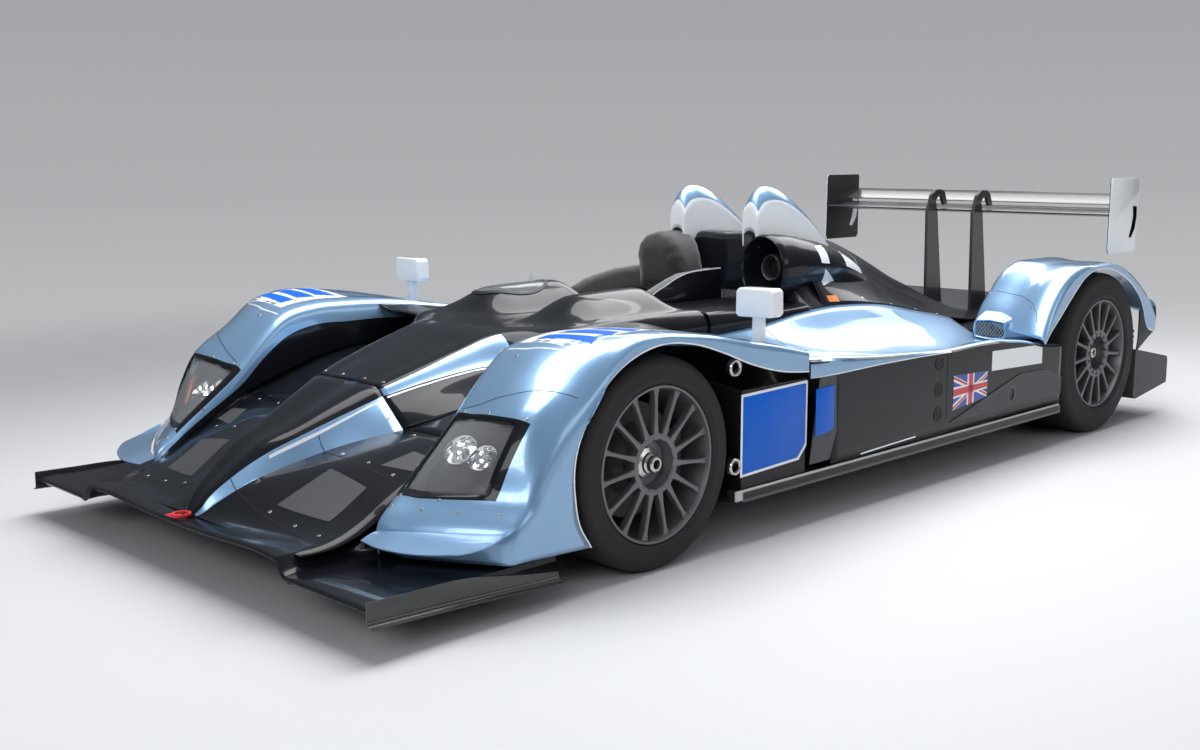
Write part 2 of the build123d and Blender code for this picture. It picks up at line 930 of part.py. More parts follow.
intake_front_y = cockpit_y + 22
intake_cut = side_plate(
    [
        (-100, coaming_z + seat_gap),
        (bulkhead_face_y(coaming_z) - seat_gap - cockpit_y, coaming_z + seat_gap),
        (bulkhead_face_y(hoop_bulkhead_z) - seat_gap - cockpit_y, hoop_bulkhead_z),
        (bulkhead_face_y(hoop_bulkhead_z) - seat_gap - cockpit_y, 1000),
        (-100, 1000),
    ],
    150,
    420,
    cockpit_y,
)
with BuildPart() as air_intake:
    add(front_plate(intake_ring(1, 0), intake_front_y, tub_rear_y))
    add(intake_cut, mode=Mode.INTERSECT)
    add(front_plate(intake_ring(0.86, 2), intake_front_y - 1, intake_front_y + 60), mode=Mode.SUBTRACT)
save(air_intake.part, "air_intake")


# Engine cover: a ridge that falls to the tail between broad shoulders
def cover_outline(top_z, ridge_x, ridge_z, shoulder_x, shoulder_z, flank_x, flank_z, hip_z, base_z):
    """Section of the engine cover in (x, z), open below."""
    half = [
        (cover_side_x, base_z),
        (cover_side_x, hip_z),
        (flank_x, flank_z),
        (shoulder_x, shoulder_z),
        (ridge_x, ridge_z),
    ]
    return walled(mirrored(half + [(0, top_z)]), cover_wall)


cover_side_x = tub_half_width - 1
cover_front_y = tub_rear_y + panel_gap
cover_length = cover_rear_y - cover_front_y
cover_sections = [
    # share of the length, top z, ridge, shoulder and flank as x and z, hip z, base z
    (0, 862, 240, 858, 330, 800, 400, 700, 634, 576),
    (0.112, 868, 215, 850, 310, 770, 390, 680, 632, 572),
    (0.272, 876, 130, 845, 260, 740, 370, 650, 606, 555),
    (0.462, 797, 105, 762, 220, 650, 340, 575, 550, 510),
    (0.669, 663, 85, 635, 190, 560, 300, 515, 488, 470),
    (1, 482, 60, 480, 140, 477, 300, 475, 474, deck_top_z + seat_gap),
]
duct_sections = [
    # y from the cover's front, size against the mouth, drop
    (0, 1.0, 0),
    (250, 0.80, -12),
    (500, 0.40, -58),
]
with BuildPart() as engine_cover:
    add(
        section_body(
            [(share * cover_length, *sizes) for share, *sizes in cover_sections],
            cover_outline,
            cover_front_y,
        )
    )
    add(section_body(duct_sections, intake_ring, cover_front_y))
save(engine_cover.part, "engine_cover")

# Engine and gearbox, plain blocks at their real places
with BuildPart() as engine_block:
    add(
        block(
            (-engine_half_width, engine_half_width),
            (tub_rear_y + 5, engine_rear_y),
            (floor_top_z + seat_gap, engine_top_z),
        )
    )
    add(
        block(
            (-gearbox_half_width, gearbox_half_width),
            (engine_rear_y, gearbox_rear_y),
            (gearbox_base_z, gearbox_top_z),
        )
    )
save(engine_block.part, "engine_block")

# Rear deck: from the engine cover back to the upturned trailing edge
deck_side = [
    (deck_front_y, deck_top_z),
    (deck_kink_y, deck_top_z),
    (rear_y, deck_tail_z),
    (rear_y, deck_tail_z - deck_thickness),
    (deck_kink_y, deck_top_z - deck_thickness),
    (deck_front_y, deck_top_z - deck_thickness),
]
save(side_plate(deck_side, seat_gap - rear_inner_x, rear_inner_x - seat_gap), "rear_deck")

# Rear fenders: flat on top, longer outside than inside, louvred behind the wheel
rear_crest_x = 940
tail_seat_y = tail_box_y - rear_axle_y - seat_gap
rear_fender_stations = [
    # y from the rear axle and z of the profile at the inner wall, at the crest, at the side
    (-445, 234, -550, 234, -547, 234),
    (-445, 495, -550, 475, -547, 462),
    (-333, 620, -455, 622, -445, 590),
    (-240, 696, -365, 700, -360, 672),
    (-55, 747, -65, 752, -65, 746),
    (105, 747, 105, 746, 105, 736),
    (267, 722, 267, 692, 267, 674),
    (465, 640, 465, 570, 465, 548),
    (539, 570, 539, 490, 539, 466),
    (539, 404, 539, 404, 539, 404),
    (405, 345, 405, 345, 405, 345),
    (tail_seat_y, 345, tail_seat_y, 345, tail_seat_y, 345),
    (tail_seat_y, 234, tail_seat_y, 234, tail_seat_y, 234),
]
rear_fender_body = faceted(
    [
        [(x, row[2 * k] + rear_axle_y, row[2 * k + 1]) for row in rear_fender_stations]
        for k, x in enumerate((rear_inner_x, rear_crest_x, body_half_width))
    ]
)
rear_wheel_space = wheel_space(
    rear_axle_y, rear_tyre_radius, rear_wheel_room, 0, rear_inner_x + 7, body_half_width + 1
)
rear_arm_window = block(
    (rear_inner_x - 50, rear_inner_x + 14),
    (rear_axle_y - rear_arm_spread + 20, rear_axle_y + rear_arm_spread - 20),
    (100, 560),
)
pod_clearance = block(
    (500, body_half_width + 1),
    (rear_axle_y - 600, rear_axle_y - 355),
    (100, 456),
)
louvre_count = 6
louvre_height = 12
louvre_pitch = 30
louvre_base_z = 372
with BuildPart() as rear_fender_left:
    add(rear_fender_body)
    add(rear_wheel_space, mode=Mode.SUBTRACT)
    add(pod_clearance, mode=Mode.SUBTRACT)
    add(rear_arm_window, mode=Mode.SUBTRACT)
    for louvre in range(louvre_count):
        louvre_z = louvre_base_z + louvre * louvre_pitch
        add(
            block(
                (body_half_width - 25, body_half_width + 1),
                (rear_axle_y + 385, rear_axle_y + 460),
                (louvre_z, louvre_z + louvre_height),
            ),
            mode=Mode.SUBTRACT,
        )
save(rear_fender_left.part, "rear_fender_left")
save(mirror(rear_fender_left.part, about=Plane.YZ), "rear_fender_right")

# Diffuser with its strakes, and the corner boxes
diffuser_half = rear_inner_x + 4 - seat_gap
diffuser_front_y = floor_rear_y + 1
diffuser_front_z = reference_z
diffuser_tail_z = 292
strake_places = [-480, -320, -160, 160, 320, 480]
strake_half = 3
strake_front_y = diffuser_front_y + 200
strake_slope = (diffuser_tail_z - diffuser_front_z) / (rear_y - diffuser_front_y)
strake_top_z = diffuser_front_z + strake_slope * (strake_front_y - diffuser_front_y)
diffuser_side = [
    (diffuser_front_y, diffuser_front_z),
    (diffuser_front_y, diffuser_front_z + 8),
    (rear_y, diffuser_tail_z + 8),
    (rear_y, diffuser_tail_z),
]
strake_side = [
    (strake_front_y, strake_top_z + 2),
    (rear_y - 10, diffuser_tail_z),
    (rear_y - 10, 160),
    (strake_front_y + 120, 100),
]
with BuildPart() as diffuser:
    add(side_plate(diffuser_side, -diffuser_half, diffuser_half))
    for strake_x in strake_places:
        add(side_plate(strake_side, strake_x - strake_half, strake_x + strake_half))
save(diffuser.part, "diffuser")
corner_side = [(0, 335), (351, 268), (361, 250), (361, 140), (26, 100), (0, 110)]
corner_left = side_plate(corner_side, rear_inner_x + 4, 972, tail_box_y)
save(both_sides(corner_left), "diffuser_corners")

# Tail fairings behind the rear fenders, each held up by a thin rod
fairing_tail_side = [(0.5, 420), (170, 380), (190, 390), (190, 500), (120, 540), (0.5, 520)]
tail_fairing_y = rear_axle_y + 539
fairing_rod_half = 4
with BuildPart() as tail_fairing:
    add(side_plate(fairing_tail_side, 820, 905, tail_fairing_y))
    add(
        block(
            (860, 860 + 2 * fairing_rod_half),
            (tail_fairing_y + 120, tail_fairing_y + 120 + 2 * fairing_rod_half),
            (285, 400),
        )
    )
save(both_sides(tail_fairing.part), "tail_fairings")

# Rear wing, its endplates and its swan-neck pylons
wing_half = wing_span / 2 - endplate_thickness - seat_gap
main_plane_side = [
    (420, 940),
    (440, 956),
    (500, 972),
    (605, 985),
    (605, 981),
    (500, 950),
    (440, 930),
]
flap_side = [(610, 1000), (640, 1020), (690, 1040), (690, 1036), (650, 1008), (615, 992)]
main_plane = side_plate(main_plane_side, -wing_half, wing_half, rear_axle_y)
flap = side_plate(flap_side, -wing_half, wing_half, rear_axle_y)
save(group(main_plane, flap), "rear_wing")
endplate_outline = [(390, 1111), (690, 1114), (690, 790), (655, 764), (401, 764)]
endplate = side_plate(
    endplate_outline,
    wing_span / 2 - endplate_thickness,
    wing_span / 2,
    rear_axle_y,
)
save(both_sides(endplate), "wing_endplates")


def deck_top(y):
    """Height of the rear deck's upper face at a place behind its kink."""
    share = max(0, y - deck_kink_y) / (rear_y - deck_kink_y)
    return deck_top_z + (deck_tail_z - deck_top_z) * share


pylon_foot_front = rear_axle_y + 335
pylon_foot_rear = rear_axle_y + 480
pylon_hook = [
    # y from the rear axle and z, from the foot's rear edge up and over the main plane
    (413, 930),
    (395, 990),
    (420, 1012),
    (448, 1008),
    (474, 966.2),
    (504, 973.2),
    (478, 1030),
    (440, 1046),
    (395, 1044),
    (355, 1020),
    (322, 935),
]
pylon_outline = [
    (pylon_foot_front - rear_axle_y, deck_top(pylon_foot_front) + 1),
    (pylon_foot_rear - rear_axle_y, deck_top(pylon_foot_rear) + seat_gap),
]
pylon = side_plate(
    pylon_outline + pylon_hook,
    (pylon_spacing - pylon_thickness) / 2,
    (pylon_spacing + pylon_thickness) / 2,
    rear_axle_y,
)
save(both_sides(pylon), "wing_pylons")

# Tow loop on the nose, crash box and rear lamp
loop_radius = 30
loop_hole_radius = 20
loop_z = 184
loop_y = front_axle_y - 985 - loop_radius - seat_gap
with BuildPart() as tow_loop:
    with BuildSketch(Plane.XY.offset(loop_z)):
        with Locations((0, loop_y)):
            RegularPolygon(loop_radius, 12)
            RegularPolygon(loop_hole_radius, 12, mode=Mode.SUBTRACT)
    extrude(amount=6)
save(tow_loop.part, "tow_loop")
crash_box_rear_y = rear_y - 35
crash_box = block((-60, 60), (gearbox_rear_y + seat_gap, crash_box_rear_y), (320, 420))
save(crash_box, "rear_crash_box")
rear_lamp = block((-30, 30), (crash_box_rear_y + seat_gap, crash_box_rear_y + 20), (340, 400))
save(rear_lamp, "rear_light")


def wheel_pieces(side, axle_y, radius, width, shaft_x, position):
    """Tyre, rim, and hub with brake disc of one wheel, with its half shaft if driven."""
    inner_x = wheel_face_x - width
    axle = Plane(origin=(0, axle_y, radius), x_dir=(1, 0, 0), z_dir=(0, -1, 0))
    spin = Axis((0, axle_y, radius), (1, 0, 0))
    tyre_outline = [
        # x, distance from the axle
        (inner_x, rim_seat_radius + seat_gap),
        (inner_x, radius - tyre_shoulder),
        (inner_x + tyre_shoulder, radius),
        (wheel_face_x - tyre_shoulder, radius),
        (wheel_face_x, radius - tyre_shoulder),
        (wheel_face_x, rim_seat_radius + seat_gap),
    ]
    with BuildPart() as tyre:
        with BuildSketch(axle):
            with BuildLine():
                Polyline(*tyre_outline, close=True)
            make_face()
        revolve(axis=spin)
    face_x = wheel_face_x - rim_face_inset
    rim_outline = [
        (inner_x + rim_inset + 2, rim_seat_radius - rim_wall),
        (wheel_face_x - rim_inset - 2, rim_seat_radius - rim_wall),
        (wheel_face_x - rim_inset - 2, rim_seat_radius),
        (inner_x + rim_inset + 2, rim_seat_radius),
    ]
    spoke_length = rim_seat_radius - rim_wall / 2 - hub_bowl_radius
    with BuildPart() as rim:
        with BuildSketch(axle):
            with BuildLine():
                Polyline(*rim_outline, close=True)
            make_face()
        revolve(axis=spin)
        with BuildSketch(Plane.YZ.offset(face_x)):
            with Locations((axle_y, radius)):
                Circle(hub_ring_radius)
                with PolarLocations(hub_bowl_radius + spoke_length / 2, spoke_count):
                    Rectangle(spoke_length, spoke_width)
                Circle(hub_bowl_radius, mode=Mode.SUBTRACT)
        extrude(amount=-spoke_depth)
        with BuildSketch(Plane.YZ.offset(face_x - spoke_depth)):
            with Locations((axle_y, radius)):
                Circle(hub_ring_radius)
                Circle(hub_radius + seat_gap, mode=Mode.SUBTRACT)
        extrude(amount=-bowl_floor)
    hub_outer_x = face_x - spoke_depth
    hub_inner_x = kingpin_x - 60
    with BuildPart() as hub:
        with BuildSketch(Plane.YZ.offset(hub_inner_x)):
            with Locations((axle_y, radius)):
                Circle(hub_radius)
        extrude(amount=hub_outer_x - hub_inner_x)
        with BuildSketch(Plane.YZ.offset(hub_outer_x)):
            with Locations((axle_y, radius)):
                Circle(nut_radius)
        extrude(amount=wheel_face_x - nut_inset + 14 - hub_outer_x)
        with BuildSketch(Plane.YZ.offset(wheel_face_x - disc_inset)):
            with Locations((axle_y, radius)):
                Circle(disc_radius)
        extrude(amount=-disc_thickness)
        if shaft_x:
            with BuildSketch(Plane.YZ.offset(shaft_x)):
                with Locations((axle_y, radius)):
                    Circle(shaft_radius)
            extrude(amount=hub_inner_x - shaft_x)
    pieces = {"tyre": tyre.part, "rim": rim.part, "hub": hub.part}
    for kind, piece in pieces.items():
        save(piece if side > 0 else mirror(piece, about=Plane.YZ), f"{kind}_{position}")


rear_shaft_x = gearbox_half_width + seat_gap
wheel_table = [
    # position, side, axle y, tyre radius, tyre width, inner end of the half shaft
    ("front_left", 1, front_axle_y, front_tyre_radius, front_tyre_width, None),
    ("front_right", -1, front_axle_y, front_tyre_radius, front_tyre_width, None),
    ("rear_left", 1, rear_axle_y, rear_tyre_radius, rear_tyre_width, rear_shaft_x),
    ("rear_right", -1, rear_axle_y, rear_tyre_radius, rear_tyre_width, rear_shaft_x),
]
for position, side, axle_y, radius, width, shaft_x in wheel_table:
    wheel_pieces(side, axle_y, radius, width, shaft_x, position)


def upright_piece(axle_y, axle_z, half_height):
    """Upright with its bearing bore and a brake caliper over the disc's rear."""
    disc_outer_x = wheel_face_x - disc_inset
    disc_inner_x = disc_outer_x - disc_thickness
    body_inner_x = kingpin_x - 45
    body_outer_x = kingpin_x + 13
    caliper_range_y = (axle_y + 90, axle_y + 200)
    with BuildPart() as upright:
        add(
            block(
                (body_inner_x, body_outer_x),
                (axle_y - upright_half_length, axle_y + upright_half_length),
                (
                    axle_z - half_height + kingpin_length,
                    axle_z + half_height - kingpin_length,
                ),
            )
        )
        add(
            block(
                (body_inner_x, body_outer_x),
                (axle_y + upright_half_length, caliper_range_y[0]),
                (axle_z - 50, axle_z + 50),
            )
        )
        add(block((kingpin_x - 20, kingpin_x + 80), caliper_range_y, (axle_z - 75, axle_z + 75)))
        add(
            block(
                (disc_inner_x - caliper_gap, disc_outer_x + caliper_gap),
                (axle_y, axle_y + disc_radius + 8),
                (axle_z - 200, axle_z + 200),
            ),
            mode=Mode.SUBTRACT,
        )
        with BuildSketch(Plane.YZ.offset(body_inner_x)):
            with Locations((axle_y, axle_z)):
                Circle(hub_radius + seat_gap)
        extrude(amount=body_outer_x - body_inner_x, mode=Mode.SUBTRACT)
        with Locations(
            (kingpin_x, axle_y, axle_z - half_height + kingpin_length / 2),
            (kingpin_x, axle_y, axle_z + half_height - kingpin_length / 2),
        ):
            Cylinder(kingpin_radius, kingpin_length)
    return upright.part


front_upright = upright_piece(front_axle_y, front_tyre_radius, upright_half_height)
save(front_upright, "front_upright_left")
save(mirror(front_upright, about=Plane.YZ), "front_upright_right")
rear_upright = upright_piece(rear_axle_y, rear_tyre_radius, rear_upright_half_height)
save(both_sides(rear_upright), "rear_uprights")


def wishbones(axle_y, axle_z, inner_x, spread, half_height, inner_level):
    """Upper and lower wishbones of the left side, each a V with its outer eye."""
    arms = []
    for level in (-1, 1):
        eye = (kingpin_x, axle_y, axle_z + level * (half_height + arm_eye_height / 2 + 0.5))
        with BuildPart() as arm:
            for end in (-1, 1):
                start = (inner_x - 30, axle_y + end * spread, axle_z + level * inner_level)
                add(bar(start, eye, arm_width, arm_thickness))
            with Locations(eye):
                Cylinder(arm_eye_radius, arm_eye_height)
            add(
                block(
                    (inner_x - 200, inner_x + seat_gap),
                    (axle_y - 400, axle_y + 400),
                    (0, 1000),
                ),
                mode=Mode.SUBTRACT,
            )
        arms.append(arm.part)
    return group(*arms)


front_arms = wishbones(
    front_axle_y,
    front_tyre_radius,
    front_arm_x,
    front_arm_spread,
    upright_half_height,
    arm_level,
)
save(both_sides(front_arms), "front_suspension")
rear_arms = wishbones(
    rear_axle_y,
    rear_tyre_radius,
    gearbox_half_width,
    rear_arm_spread,
    rear_upright_half_height,
    rear_arm_level,
)
save(both_sides(rear_arms), "rear_suspension")
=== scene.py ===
"""Looks of an open-cockpit sports prototype race car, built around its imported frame.

Tables of body sections are in millimetres in the car's own frame, like the drawings
that they follow: nose towards -Y, the car's left side towards +X, ground at Z = 0.
"""

import math

import bpy
import numpy as np
from mathutils import Matrix, Vector
from mathutils.bvhtree import BVHTree


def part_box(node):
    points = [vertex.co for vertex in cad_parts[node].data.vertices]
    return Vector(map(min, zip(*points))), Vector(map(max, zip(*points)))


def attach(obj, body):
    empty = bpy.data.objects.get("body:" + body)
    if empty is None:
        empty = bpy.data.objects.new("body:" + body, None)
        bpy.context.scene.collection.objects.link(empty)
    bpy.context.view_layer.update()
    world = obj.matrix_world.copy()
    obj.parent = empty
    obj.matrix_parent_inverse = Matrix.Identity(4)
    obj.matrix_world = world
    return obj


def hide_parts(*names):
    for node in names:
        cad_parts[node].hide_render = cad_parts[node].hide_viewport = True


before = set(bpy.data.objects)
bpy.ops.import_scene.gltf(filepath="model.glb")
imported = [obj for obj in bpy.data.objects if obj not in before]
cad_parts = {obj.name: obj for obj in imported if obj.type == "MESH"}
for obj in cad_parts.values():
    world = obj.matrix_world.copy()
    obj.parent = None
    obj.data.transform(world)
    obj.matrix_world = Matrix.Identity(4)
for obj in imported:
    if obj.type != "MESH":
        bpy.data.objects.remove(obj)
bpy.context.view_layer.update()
bpy.ops.object.select_all(action="DESELECT")

# Studio: a pale floor that shades off into a grey backdrop, a broad soft light above the
# car with smaller ones ahead of it and beside it, and a camera at the photograph's place.
# None of it is part of the car.


def wired(tree, node, inputs):
    """A node with its inputs set to values or fed by other nodes' outputs."""
    for key, value in inputs.items():
        if isinstance(value, bpy.types.NodeSocket):
            tree.links.new(value, node.inputs[key])
        else:
            node.inputs[key].default_value = value
    return node


def added(tree, kind, inputs, output, **settings):
    """The output of a new node in a tree, given its settings and inputs."""
    node = tree.nodes.new(f"ShaderNode{kind}")
    for setting, value in settings.items():
        setattr(node, setting, value)
    return wired(tree, node, inputs).outputs[output]


def shaded(tree, value, stops, interpolation="LINEAR"):
    """The colour of a ramp over a value, from stops of (place, colour)."""
    output = added(tree, "ValToRGB", {"Fac": value}, "Color")
    ramp = output.node.color_ramp
    ramp.interpolation = interpolation
    ramp.elements[0].color = (*stops[0][1], 1)
    ramp.elements[1].color = (*stops[-1][1], 1)
    ramp.elements[1].position = stops[-1][0]
    for place, colour in stops[1:-1]:
        ramp.elements.new(place).color = (*colour, 1)
    return output


bpy.ops.mesh.primitive_plane_add(size=240, location=(0, 0, 0))
floor = bpy.context.object
floor.name = "studio_floor"
floor_paint = bpy.data.materials.new("studio_floor")
floor_paint.use_nodes = True
tree = floor_paint.node_tree
place = added(tree, "TexCoord", {}, "Object")
away_from_camera = (-0.908, 0.420, 0)
distance = added(
    tree, "VectorMath", {0: place, 1: away_from_camera}, "Value", operation="DOT_PRODUCT"
)
span = added(tree, "MapRange", {"Value": distance, "From Min": -4, "From Max": 36}, "Result")
greys = ((0, 0.83), (0.11, 0.83), (0.17, 0.52), (0.25, 0.49), (0.5, 0.45), (1, 0.42))
stops = [(at, (grey, grey + 0.005, grey + 0.02)) for at, grey in greys]
backdrop = shaded(tree, span, stops, "B_SPLINE")
dim = added(tree, "VectorMath", {0: backdrop, "Scale": 0.72}, "Vector", operation="SCALE")
ground = {"Base Color": dim, "Roughness": 0.6, "Specular IOR Level": 0.1}
near_floor = wired(tree, tree.nodes["Principled BSDF"], ground).outputs["BSDF"]
far_floor = added(tree, "Emission", {"Color": backdrop}, "Emission")
reach = added(tree, "VectorMath", {0: place}, "Value", operation="LENGTH")
fade = {"Value": reach, "From Min": 2.5, "From Max": 7.0}
far = added(tree, "MapRange", fade, "Result", interpolation_type="SMOOTHSTEP")
blend = added(tree, "MixShader", {"Fac": far, 1: near_floor, 2: far_floor}, "Shader")
wired(tree, tree.nodes["Material Output"], {"Surface": blend})
floor.data.materials.append(floor_paint)

world = bpy.data.worlds.new("studio")
bpy.context.scene.world = world
world.use_nodes = True
tree = world.node_tree
place = added(tree, "TexCoord", {}, "Generated")
height = added(tree, "SeparateXYZ", {"Vector": place}, "Z")
sky = shaded(tree, height, ((0, (0.10, 0.105, 0.12)), (0.75, (0.52, 0.56, 0.62))))
lit = wired(tree, tree.nodes["Background"], {"Color": sky, "Strength": 0.62})
backdrop = shaded(tree, height, ((0, (0.42, 0.425, 0.44)), (0.2, (0.33, 0.335, 0.35))))
seen = added(tree, "Background", {"Color": backdrop}, "Background")
to_camera = added(tree, "LightPath", {}, "Is Camera Ray")
choice = {"Fac": to_camera, 1: lit.outputs["Background"], 2: seen}
surroundings = added(tree, "MixShader", choice, "Shader")
wired(tree, tree.nodes["World Output"], {"Surface": surroundings})

for lamp_name, lamp_place, lamp_turn, lamp_size, lamp_power in (
    ("roof_light", (0, 0.2, 4.4), (0, 0, 0), (3.0, 6.0), 350),
    ("front_light", (3.0, -6.4, 3.2), (62, 0, 25), (4.0, 1.6), 110),
    ("back_light", (-2.2, 6.2, 4.8), (-25, 0, 0), (7.0, 4.0), 330),
    ("side_light", (6.4, 1.6, 2.6), (72, 0, 104), (5.5, 1.4), 45),
):
    light = bpy.data.lights.new(lamp_name, "AREA")
    light.shape = "RECTANGLE"
    light.size, light.size_y = lamp_size
    light.energy = lamp_power
    lamp = bpy.data.objects.new(lamp_name, light)
    lamp.location = lamp_place
    lamp.rotation_euler = [math.radians(turn) for turn in lamp_turn]
    bpy.context.scene.collection.objects.link(lamp)

camera_data = bpy.data.cameras.new("camera")
camera_data.sensor_width = 36
camera_data.lens = 40.53
camera = bpy.data.objects.new("camera", camera_data)
camera.location = (3.5995, -4.1337, 1.2321)
camera.rotation_euler = [math.radians(turn) for turn in (80.663, 0.085, 45.14)]
bpy.context.scene.collection.objects.link(camera)
bpy.context.scene.camera = camera
bpy.context.scene.view_settings.view_transform = "Standard"

# Front fenders: one-piece composite mouldings that arch over the steered wheels, painted
# metallic light blue under clear lacquer. Each row of the table is one section from the
# foot of the inner wall over the crown to the lip of the wheel arch.
MM = 0.001
SIDES = ((1, "left"), (-1, "right"))


def sections(rows, places=None):
    """Rows of points from rows of (x places, y, heights).

    A y that is one number holds for the whole row, and rows without x places share some.
    """
    made = []
    for *own, y, heights in rows:
        along = y if isinstance(y, tuple) else [y] * len(heights)
        made.append(list(zip(own[0] if own else places, along, heights)))
    return made


def smooth_rows(rows, steps, breaks=()):
    """Rows of points with smooth rows added between them and a crease at each break."""
    rows = np.array(rows, float)
    gap = np.diff(rows, axis=0)
    length = np.linalg.norm(gap, axis=2, keepdims=True) + 1e-9
    slope = gap / length
    last = len(rows) - 1
    made = [rows[:1]]
    for k in range(last):
        ends = []
        for at in (k, k + 1):
            if at in (0, last) or at in breaks:
                ends.append(slope[k])
            else:
                before, after = length[at - 1], length[at]
                ends.append((slope[at - 1] * after + slope[at] * before) / (before + after))
        for step in range(1, steps + 1):
            t = step / steps
            made.append(
                (
                    (2 * t**3 - 3 * t**2 + 1) * rows[k]
                    + (t**3 - 2 * t**2 + t) * length[k] * ends[0]
                    + (3 * t**2 - 2 * t**3) * rows[k + 1]
                    + (t**3 - t**2) * length[k] * ends[1]
                )[None]
            )
    return np.concatenate(made)


def walled(piece, wall):
    """A skin given a wall in millimetres behind its faces."""
    thick = piece.modifiers.new("wall", "SOLIDIFY")
    thick.thickness = wall * MM
    thick.offset = -1
    bpy.context.view_layer.objects.active = piece
    bpy.ops.object.modifier_apply(modifier="wall")


def skin(name, rows, steps, breaks=((), ()), wall=5, paint=None, paints=(), side=1, drop=None):
    """A thin moulding through rows of points in millimetres, on one side of the car.

    steps are the faces between rows and between points, breaks the creased rows and
    points, paint gives a face's paint from its row and point, and drop says which faces
    are cut out. The faces point away from the wall, which lies behind them.
    """
    grid = smooth_rows(rows, steps[0], breaks[0])
    grid = smooth_rows(grid.transpose(1, 0, 2), steps[1], breaks[1]).transpose(1, 0, 2)
    table = np.array(rows, float)
    grid = np.clip(grid, table.min(axis=(0, 1)), table.max(axis=(0, 1)))
    grid = grid * (side * MM, MM, MM)
    down, across = grid.shape[0] - 1, grid.shape[1] - 1
    bpy.ops.object.select_all(action="DESELECT")
    bpy.ops.mesh.primitive_grid_add(x_subdivisions=across, y_subdivisions=down, size=2)
    piece = bpy.context.object
    piece.name = name
    mesh = piece.data
    flat = np.empty(len(mesh.vertices) * 3)
    mesh.vertices.foreach_get("co", flat)
    flat = flat.reshape(-1, 3)
    column = np.rint((flat[:, 0] + 1) / 2 * across).astype(int)
    row = np.rint((flat[:, 1] + 1) / 2 * down).astype(int)
    mesh.vertices.foreach_set("co", grid[row, column].ravel())
    corner_row = row / steps[0]
    corner_column = column / steps[1]
    layer = mesh.uv_layers.active or mesh.uv_layers.new()
    corners = np.empty(len(mesh.loops), int)
    mesh.loops.foreach_get("vertex_index", corners)
    spots = np.stack([corner_column[corners], corner_row[corners]], 1)
    layer.data.foreach_set("uv", spots.ravel())
    for finish in paints:
        mesh.materials.append(finish)
    bpy.ops.object.mode_set(mode="EDIT")
    bpy.ops.mesh.select_mode(type="FACE")
    bpy.ops.mesh.select_all(action="DESELECT")
    bpy.ops.object.mode_set(mode="OBJECT")
    for face in mesh.polygons:
        face_row = corner_row[list(face.vertices)].mean()
        face_column = corner_column[list(face.vertices)].mean()
        if paint:
            face.material_index = paint(face_row, face_column)
        face.select = bool(drop and drop(face_row, face_column))
    if drop:
        bpy.ops.object.mode_set(mode="EDIT")
        bpy.ops.mesh.delete(type="FACE")
        bpy.ops.object.mode_set(mode="OBJECT")
    if side < 0:
        mesh.flip_normals()
    bpy.ops.object.shade_smooth_by_angle(angle=math.radians(38))
    if wall:
        walled(piece, wall)
    return piece


def bare(name):
    """A new material, its node tree and the place on a piece that its patterns read."""
    finish = bpy.data.materials.new(name)
    finish.use_nodes = True
    return finish, finish.node_tree, added(finish.node_tree, "TexCoord", {}, "Object")


def noise(tree, place, scale, detail=2):
    """Soft noise over a piece."""
    return added(tree, "TexNoise", {"Vector": place, "Scale": scale, "Detail": detail}, "Fac")


def spread(tree, value, low, high):
    """A value spread between two limits."""
    return added(tree, "MapRange", {"Value": value, "To Min": low, "To Max": high}, "Result")


def tinted(tree, value, colour, share):
    """A colour that a value makes darker and lighter by a share."""
    dark = (*(c * (1 - share) for c in colour), 1)
    light = (*(min(1, c * (1 + share)) for c in colour), 1)
    mix = {"Factor": value, "A": dark, "B": light}
    return added(tree, "Mix", mix, "Result", data_type="RGBA")


def relief(tree, height, strength, distance):
    """A surface raised and sunk by a height."""
    bump = {"Height": height, "Strength": strength, "Distance": distance}
    return added(tree, "Bump", bump, "Normal")


def lacquer(name, colour, metallic=0.0, rough=0.35, flake=0.0, coat=1.0, gloss=0.5):
    """Paint under clear lacquer, with flakes, slight orange peel and fine dust."""
    finish, tree, place = bare(name)
    inputs = {
        "Base Color": tinted(tree, noise(tree, place, 1400), colour, flake),
        "Metallic": metallic,
        "Roughness": spread(tree, noise(tree, place, 6, 5), rough * 0.85, rough * 1.2),
        "Specular IOR Level": gloss,
        "Coat Weight": coat,
        "Coat Roughness": 0.03,
        "Normal": relief(tree, noise(tree, place, 260), 0.02, 0.0004),
    }
    wired(tree, tree.nodes["Principled BSDF"], inputs)
    return finish


def carried(piece, slot, *nodes, body="root"):
    """Fix a piece to its body and let it stand for nodes of the frame."""
    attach(piece, body)
    if nodes:
        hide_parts(*nodes)
    return piece


blue_paint = lacquer("light_blue_metallic", (0.23, 0.40, 0.62), 0.55, 0.30, 0.10)
black_paint = lacquer("gloss_black", (0.005, 0.006, 0.009), 0.0, 0.3, 0.15, 0.4, 0.1)
# white for the lines painted on the body, and for the painted highlights laid along the creases of the nose
# and scuttle bands
white_line_and_highlight_paint = lacquer("white_line_and_painted_highlight", (0.80, 0.84, 0.88), 0.1, 0.3)

